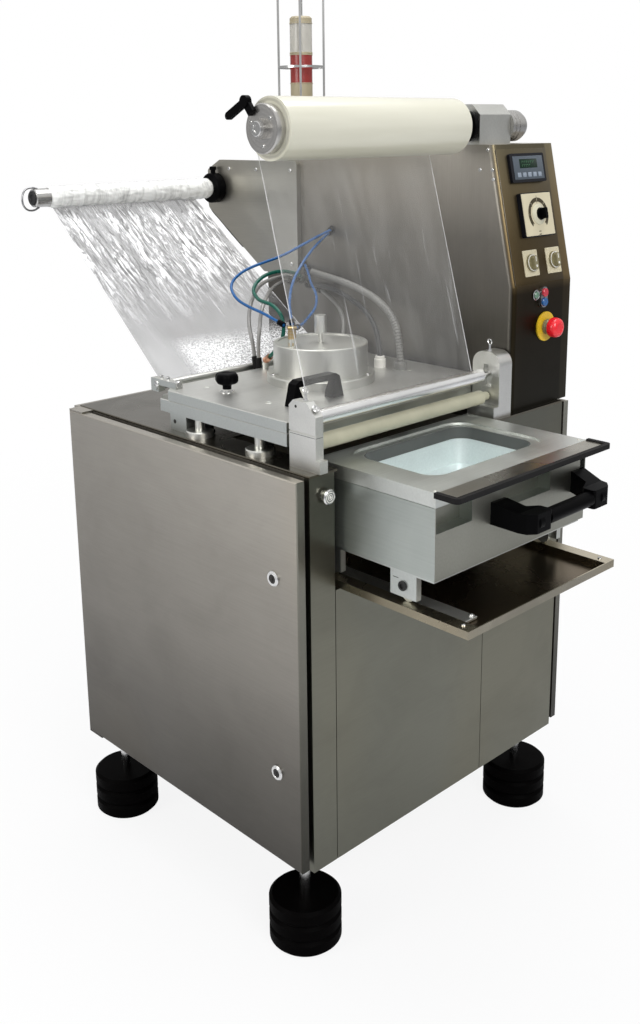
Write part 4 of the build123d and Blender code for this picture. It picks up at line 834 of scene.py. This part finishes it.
TIMER = (99, 137)
build = bmesh.new()
SCALE_LOW, SCALE_HIGH = math.radians(-45), math.radians(225)
for part in range(48):
    angles = [SCALE_LOW + (SCALE_HIGH - SCALE_LOW) * (part + end) / 48 for end in (0, 1)]
    place = on_face(TIMER[0], TIMER[1], 12.05)
    corners = [place @ Vector((radius * math.cos(angle), radius * math.sin(angle), height))
               for height in (0, 0.25) for angle, radius in
               ((angles[0], 25), (angles[1], 25), (angles[1], 33), (angles[0], 33))]
    verts = [build.verts.new(corner) for corner in corners]
    for face in ((0, 1, 2, 3), (4, 5, 6, 7), (1, 5, 6, 2), (0, 4, 7, 3)):
        build.faces.new([verts[index] for index in face])
welded(build)
for up in (-34, -40):
    bar(build, (7, 1.6, 0.3), on_face(TIMER[0] - 2, TIMER[1] + up, 12.0), 0.1, 1)
bar(build, (1.0, 22, 0.3), on_face(TIMER[0], TIMER[1] + 26, 12.0), 0.1, 1)
finished("dial_scale", build, "dial_ink")


def numeral(build, text, size, place):
    """Adds a number as flat faces."""
    curve = bpy.data.curves.new("numeral", "FONT")
    curve.body = text
    curve.size = size
    curve.align_x = curve.align_y = "CENTER"
    curve.extrude = 0.06
    holder = bpy.data.objects.new("numeral", curve)
    mesh = bpy.data.meshes.new_from_object(holder)
    mesh.transform(place)
    build.from_mesh(mesh)
    bpy.data.objects.remove(holder)
    bpy.data.meshes.remove(mesh)


build = bmesh.new()
for index in range(7):
    angle = SCALE_HIGH + (SCALE_LOW - SCALE_HIGH) * index / 6
    across, up = (middle + 29 * part for middle, part in zip(TIMER, (math.cos(angle), math.sin(angle))))
    numeral(build, str(index), 6.5, on_face(across, up, 12.35))
finished("dial_numbers", build, "cream_plastic", smooth=20)
build = bmesh.new()
turned(build, [(21, 0), (21, 1.2), (19.5, 2.2), (12.6, 5), (12.6, 0)], on_face(*TIMER, 12.0), 40)
finished("dial_skirt", build, "dial_skirt")
build = bmesh.new()
for across in (64, 140):
    ring(build, 17.3, 19.6, 1.4, on_face(across, 43, 3), 40)
    for corner_u, corner_v in ((-19, -22), (19, -22), (-19, 22), (19, 22)):
        screw(build, 1.9, 0.9, on_face(across + corner_u, 43 + corner_v, 2.9))
finished("switch_rings", build, "cream_plastic")
for body, across in (("switch_left", 64), ("switch_right", 140)):
    build = bmesh.new()
    bar(build, (2.2, 10, 0.6), on_face(across, 50, 15.8), 0.2)
    turned(build, [(2.6, 0), (2.6, 0.8), (1.8, 1.3), (0, 1.4)], on_face(across, 36, 15.7), 16)
    turned(build, [(14.6, 0), (16.4, 0), (16.4, 0.8), (15.6, 1.3), (14.6, 0.8), (14.6, 0)],
           on_face(across, 43, 7.9), 36)
    finished(f"{body}_mark", build, "pale_plastic", body=body)

build = bmesh.new()
turned(build, [(13.6, 0), (15.5, 0), (15.5, 5), (14.2, 9), (11, 12), (11, 0)],
       stand(674, 8.5, 913, TO_FRONT), 36)
finished("estop_collar", build, "olive_plastic")
build = bmesh.new()
turned(build, [(0, 10), (8, 10), (8, 22.2), (16.6, 22.2), (17.2, 16.8), (18.4, 16.6), (19.6, 17.6), (20, 19.5),
               (20, 27.5), (19.4, 31), (17.6, 34.2), (14.5, 36.4), (10, 37.4), (9, 36.6), (0, 36.9)],
       stand(674, 13, 913, TO_FRONT), 64)
mushroom = finished("estop_mushroom", build, "red_plastic", body="emergency_stop")
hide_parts("estop_button")
build = bmesh.new()
turned(build, [(6, 0), (10.2, 0), (10.8, 1.2), (9.4, 2.1), (8.2, 1.1), (6, 0.6)],
       stand(640, 13, 980, TO_FRONT), 32)
finished("lamp_rings", build, "wire")

# Small parts of the cabinet and its door
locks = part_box("door_locks")
lock_face = (locks[0][0] - LEFT) / MM
build = bmesh.new()
for z in (189, 561):
    ring(build, 8.2, 10.4, 0.9, leftward(lock_face + 0.3, 62, z), 32)
finished("lock_rims", build, "chrome", body="side_door")
# Dark discs and triangles in the locks' centres: painted shade of their recesses.
build = bmesh.new()
for z in (189, 561):
    turned(build, [(8.1, 0), (8.1, 0.5), (0, 0.5)], leftward(lock_face + 0.2, 62, z), 32)
    turned(build, [(4.2, 0), (4.2, 1.4), (3.6, 1.9), (0, 1.9)], leftward(lock_face + 0.2, 62, z), 3)
finished("lock_inserts", build, "dark_inside", body="side_door")
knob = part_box("post_knob")
knob_face = (knob[0][1] - FRONT) / MM
build = bmesh.new()
for inner, outer in ((4.2, 5.4), (8.4, 9.6)):
    ring(build, inner, outer, 0.7, stand(36, knob_face + 0.3, 709, TO_FRONT), 36, 0.2)
turned(build, [(2.4, 0), (2.4, 0.5), (0, 0.9)], stand(36, knob_face + 0.3, 709, TO_FRONT))
finished("post_knob_rings", build, "pale_plastic")
build = bmesh.new()
for z in (300, 640):
    for x in (80, 648):
        screw(build, 4.5, 3, stand(x, 700, z, (0, 1, 0)))
finished("back_screws", build, "chrome")

# Small parts of the sealing head
HEAD_TOP = 825.9
build = bmesh.new()
for side, mirror in ((42, -1), (520, 1)):
    turned(build, [(6.5, 0), (6.5, 1.6), (5.2, 2.4), (0, 2.9)], sideways(side + 8 * mirror, 468, 828, mirror))
    for y in (462, 441):
        screw(build, 3.2, 6.5, stand(side, y, 837.6))
    turned(build, [(6.8, -4), (6.8, 4.5), (5.6, 6), (0, 6)], stand(side, 411, 834, TO_FRONT))
finished("arm_screws", build, "chrome")
# Thin dark discs laid in the holes: painted shade inside them.
build = bmesh.new()
for face, mirror in ((22, -1), (542, 1)):
    turned(build, [(4.2, 0), (4.2, 0.25), (0, 0.25)], sideways(face, 397, 767, mirror), 20)
turned(build, [(2.6, 0), (2.6, 0.25), (0, 0.25)], leftward(20, 52, 858), 20)
finished("hole_shade", build, "dark_inside")
build = bmesh.new()
for x, y in ((88, 379), (88, 199), (472, 379), (472, 199)):
    turned(build, [(6.5, 0), (6.5, 0.35), (5.9, 0.6), (5.3, 0.3), (0, 0.3)], stand(x, y, HEAD_TOP), 32)
finished("head_plugs", build, "alu_bright")
build = bmesh.new()
for x in (54, 508):
    for y in (161, 332):
        turned(build, [(11, 0), (11, 5), (8.5, 7), (8.5, 20), (10.5, 22), (10.5, 30), (0, 30)],
               stand(x, y, 751.5))
finished("head_buffers", build, "black_rubber")
build = bmesh.new()


def lobed(radius, angle):
    """Six lobes, deeper towards the rim."""
    share = max(0.0, (radius - 10) / 13)
    return radius * (1 - share * 0.075 * (1 - math.cos(6 * angle)))


turned(build, [(0, 832), (8.5, 832), (8.5, 838), (10, 841), (17, 842.5), (21, 845), (23, 849), (23, 856),
               (21.5, 860.5), (18, 862.6), (11, 863), (9.5, 862.2), (0, 862.2)], stand(90, 320, 0), 96, lobed)
star = finished("lobed_knob", build, "black_plastic", body="clamp_knob", smooth=50)
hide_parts("star_knob")
build = bmesh.new()
ring(build, 6.2, 13.5, 1.8, stand(90, 320, HEAD_TOP), 36)
turned(build, [(9.2, 0), (9.2, 4.6), (8.4, 5.4), (6, 5.4), (6, 0)], stand(90, 320, 827.5), 6)
finished("star_knob_nut", build, "chrome")


def eyelet(build, x, y, z):
    """Adds a wire eye on a threaded stem, which guides the film's edge."""
    turned(build, [(4.6, 0), (4.6, 3), (4.0, 3.8), (2.2, 3.8), (2.2, 15), (0, 15.5)], stand(x, y, z), 6)
    loop = [(x + 5.2 * math.cos(a), y + 2.2 * math.sin(a), z + 19 + 5.2 * math.sin(a))
            for a in (math.tau * step / 8 for step in range(8))]
    swept(build, soft_line(loop, True, 5), 0.0012, 8, True)


build = bmesh.new()
eyelet(build, 29, 37, 867.5)
eyelet(build, 529, 40, 878.5)
screw(build, 7.0, 2.6, stand(29, 12.5, 858, (0, -1, 1)), 0.62)
finished("film_eyelets", build, "chrome")

build = bmesh.new()
SEAM = 810
bar(build, (62, 0.9, 0.25), leftward(20.05, 37, SEAM), 0.08, 1)
bar(build, (15, 0.9, 0.25), stand(29, 4.55, SEAM, TO_FRONT), 0.08, 1)
finished("bracket_seam", build, "grey_rubber")

# Fittings of the hoses on the housing
build = bmesh.new()
TURNS, coil = 7, []
for step in range(TURNS * 14 + 1):
    a = math.tau * step / 14
    coil.append(at(218 + 7.4 * math.cos(a), 276 + 7.4 * math.sin(a), 915.5 + 20 * step / (TURNS * 14)))
swept(build, coil, 0.0009, 8)
turned(build, [(8.6, 0), (8.6, 6), (7.4, 7.5), (6, 7.5), (6, 0)], stand(218, 276, 902.8), 6)
turned(build, [(10.5, 0), (10.5, 3.4), (9.2, 4.4), (0, 4.4)], stand(218, 276, 936), 6)
finished("riser_spring", build, "brass")
build = bmesh.new()
turned(build, [(9.2, 0), (12.4, 0), (12.4, 17.5), (11.4, 18.6), (10.2, 18.8), (10.2, 23), (9, 24.2),
               (5.9, 24.2)], stand(451, 262.5, HEAD_TOP), 12)
finished("white_fitting", build, "pale_plastic")
build = bmesh.new()
profile = [(7.8, 0)]
for rib in range(5):
    profile += [(14, 3 * rib), (14, 3 * rib + 1.8), (13.1, 3 * rib + 2), (13.1, 3 * rib + 2.8)]
profile += [(12.4, 15.4), (7.8, 15.4), (7.8, 0)]
turned(build, profile, stand(465, 218.5, HEAD_TOP), 32)
welded(build)
finished("ribbed_socket", build, "grey_tube")
build = bmesh.new()
for step in range(8):
    angle = math.tau * (step + 0.5) / 8
    screw(build, 3.4, 3, stand(287 + 99.5 * math.cos(angle), 269 + 99.5 * math.sin(angle), 842.8))
finished("flange_screws", build, "chrome")

# Small parts of the drawer and its tray
build = bmesh.new()
for face, mirror in ((77, -1), (485, 1)):
    for y in (-140, 33):
        turned(build, [(8.6, 0), (8.6, 3), (7.6, 4), (4.6, 4), (4.3, 1.2), (0, 1)],
               sideways(face, y, 577, mirror))
        bar(build, (12, 1.2, 0.3), sideways(face, y + 16, 588, mirror), 0.1, 1)
finished("guide_bolts", build, "dark_tube", body="drawer")
build = bmesh.new()
for x in (80, 482):
    for y in (-203, 52):
        screw(build, 3.4, 0.8, stand(x, y, 754.8))
finished("mould_screws", build, "alu_bright", body="drawer")
build = bmesh.new()
bar(build, (40, 300, 5), stand(117, -98, 534), 1.2, 3)
finished("runner_strip", build, "alu_bracket")
build = bmesh.new()
screw(build, 4.2, 3, stand(131, -241, 538.8))
for x in (84, 474):
    screw(build, 3.6, 2.2, stand(x, -262, 544.8))
finished("tray_screws", build, "chrome")
build = bmesh.new()
for x in (249, 432):
    turned(build, [(13, 0), (15.2, 0.8), (15.2, 12.2), (13, 13)], sideways(x, -272.5, 677, 1), 36)
finished("handle_collars", build, "black_plastic", body="drawer")

# Small parts of the reel and the rewinder
build = bmesh.new()
turned(build, [(12.5, 0), (12.5, 2.4), (11.4, 3.2), (7.2, 3.2), (6.4, 1), (0, 1)], leftward(14.2, *REEL_AXIS))
for step in range(3):
    angle = math.tau * step / 3 + 0.4
    across, up = (middle + 28 * part for middle, part in zip(REEL_AXIS, (math.cos(angle), math.sin(angle))))
    screw(build, 3.2, 2.6, leftward(24.1, across, up))
finished("reel_screws", build, "chrome", body="film_reel")
build = bmesh.new()
bail = [(54, 910, 1187.5), (40, 909, 1190.5), (24, 907, 1187), (14, 904, 1173), (15, 904, 1155),
        (26, 906, 1144), (42, 909, 1142), (56, 910, 1147.5)]
swept(build, soft_line(bail), 0.0021, 12)
finished("shaft_bail", build, "wire", body="rewinder")
build = bmesh.new()
turned(build, [(15.5, 0), (15.5, 2.4), (14.4, 3.4), (8, 3.4), (7, 1.2), (0, 1.2)], leftward(42.1, *REWIND_AXIS))
finished("shaft_cap", build, "dark_tube", body="rewinder")
build = bmesh.new()
turned(build, [(6, 0), (6, 1), (8.4, 2), (8.4, 8.5), (7.4, 9.8), (0, 10.2)], stand(540.7, 910, 1210), 20)
finished("collar_knob", build, "black_plastic", body="rewinder")
build = bmesh.new()
ring(build, 20.3, 33, 2.6, leftward(553, *REWIND_AXIS), 40)
finished("collar_washer", build, "alu_bright")
build = bmesh.new()
trim = (948, 1150), (947.5, 1128), (936, 1111), (905, 1089), (868, 1062), (822, 1030)
swept(build, soft_line([(559, *spot) for spot in trim]), 0.0042, 12)
finished("plate_edging", build, "black_rubber")
build = bmesh.new()
for y, z in ((640, 1215), (640, 1000), (760, 1215), (860, 1215)):
    screw(build, 4.2, 3, leftward(553, y, z))
finished("plate_screws", build, "chrome")

# Signal tower
build = bmesh.new()
for z in (1409.4, 1473, 1477, 1542):
    ring(build, 24.5, 26.6, 2.2, stand(625, 676, z), 48)
finished("tower_bands", build, "beige_plastic")


# Light and floor
def lamp(name, place, target, size, power, colour=(1, 1, 1)):
    data = bpy.data.lights.new(name, "AREA")
    data.shape = "RECTANGLE"
    data.size, data.size_y = size
    data.energy = power
    data.color = colour
    holder = bpy.data.objects.new(name, data)
    holder.location = place
    holder.rotation_euler = (Vector(target) - Vector(place)).to_track_quat("-Z", "Y").to_euler()
    scene.collection.objects.link(holder)


lamp("key", (-1.2, -3.2, 3.0), (0, -0.1, 0.9), (1.8, 1.8), 75)
lamp("side", (-3.4, 0.6, 2.2), (0, 0, 0.8), (1.6, 2.2), 45, (1, 0.98, 0.95))
lamp("top", (0.3, 0.2, 3.6), (0, 0, 1.0), (2.2, 2.2), 62)

WHITE = (1, 1, 1, 1)
world = bpy.data.worlds.new("studio")
scene.world = world
world.use_nodes = True
tree = world.node_tree
rays = tree.nodes.new("ShaderNodeLightPath").outputs
ambient = tree.nodes["Background"]
ambient.inputs["Color"].default_value = (0.92, 0.94, 1.0, 1)
ambient.inputs["Strength"].default_value = 0.55
white = node_of(tree, "Background", {"Color": WHITE, "Strength": 1.0})
sky = ramp(tree, coordinate(tree, "Z", "Generated"), ((0.0, 0.35), (0.25, 0.75), (0.8, 0.88)))
mirrored = node_of(tree, "Background", {"Color": sky})
seen = node_of(tree, "Math", {0: rays["Is Camera Ray"], 1: rays["Is Transmission Ray"]}, operation="MAXIMUM")
lit = node_of(tree, "MixShader", {0: rays["Is Glossy Ray"], 1: ambient.outputs[0], 2: mirrored.outputs[0]})
shown = node_of(tree, "MixShader", {0: seen.outputs[0], 1: lit.outputs[0], 2: white.outputs[0]})
tree.links.new(shown.outputs[0], tree.nodes["World Output"].inputs[0])

FLOOR_HALF = 30
floor_mesh = bpy.data.meshes.new("floor")
floor_mesh.from_pydata([(x * FLOOR_HALF, y * FLOOR_HALF, 0) for x, y in ((-1, -1), (1, -1), (1, 1), (-1, 1))],
                       [], [(0, 1, 2, 3)])
floor = bpy.data.objects.new("floor", floor_mesh)
scene.collection.objects.link(floor)
floor_look, tree, base = shader((0.8, 0.8, 0.8), 0.0, 0.9)
floor_look.name = "floor_look"
# To the camera the floor glows white, the more so the further out, and its shadow shows close by
distance = node_of(tree, "VectorMath", {0: own_place(tree)}, operation="LENGTH")
far = ranged(tree, distance.outputs["Value"], 0.6, 3.2)
rays = tree.nodes.new("ShaderNodeLightPath").outputs
paler = ramp(tree, far, ((0.0, 0.88), (0.5, 0.97), (1.0, 1.0)))
share = node_of(tree, "Math", {0: rays["Is Camera Ray"], 1: paler}, operation="MULTIPLY")
glow = node_of(tree, "Emission", {"Color": WHITE, "Strength": 1.0})
shown = node_of(tree, "MixShader", {0: share.outputs[0], 1: base.outputs[0], 2: glow.outputs[0]})
tree.links.new(shown.outputs[0], tree.nodes["Material Output"].inputs[0])
floor_mesh.materials.append(floor_look)

scene.view_settings.view_transform = "Standard"
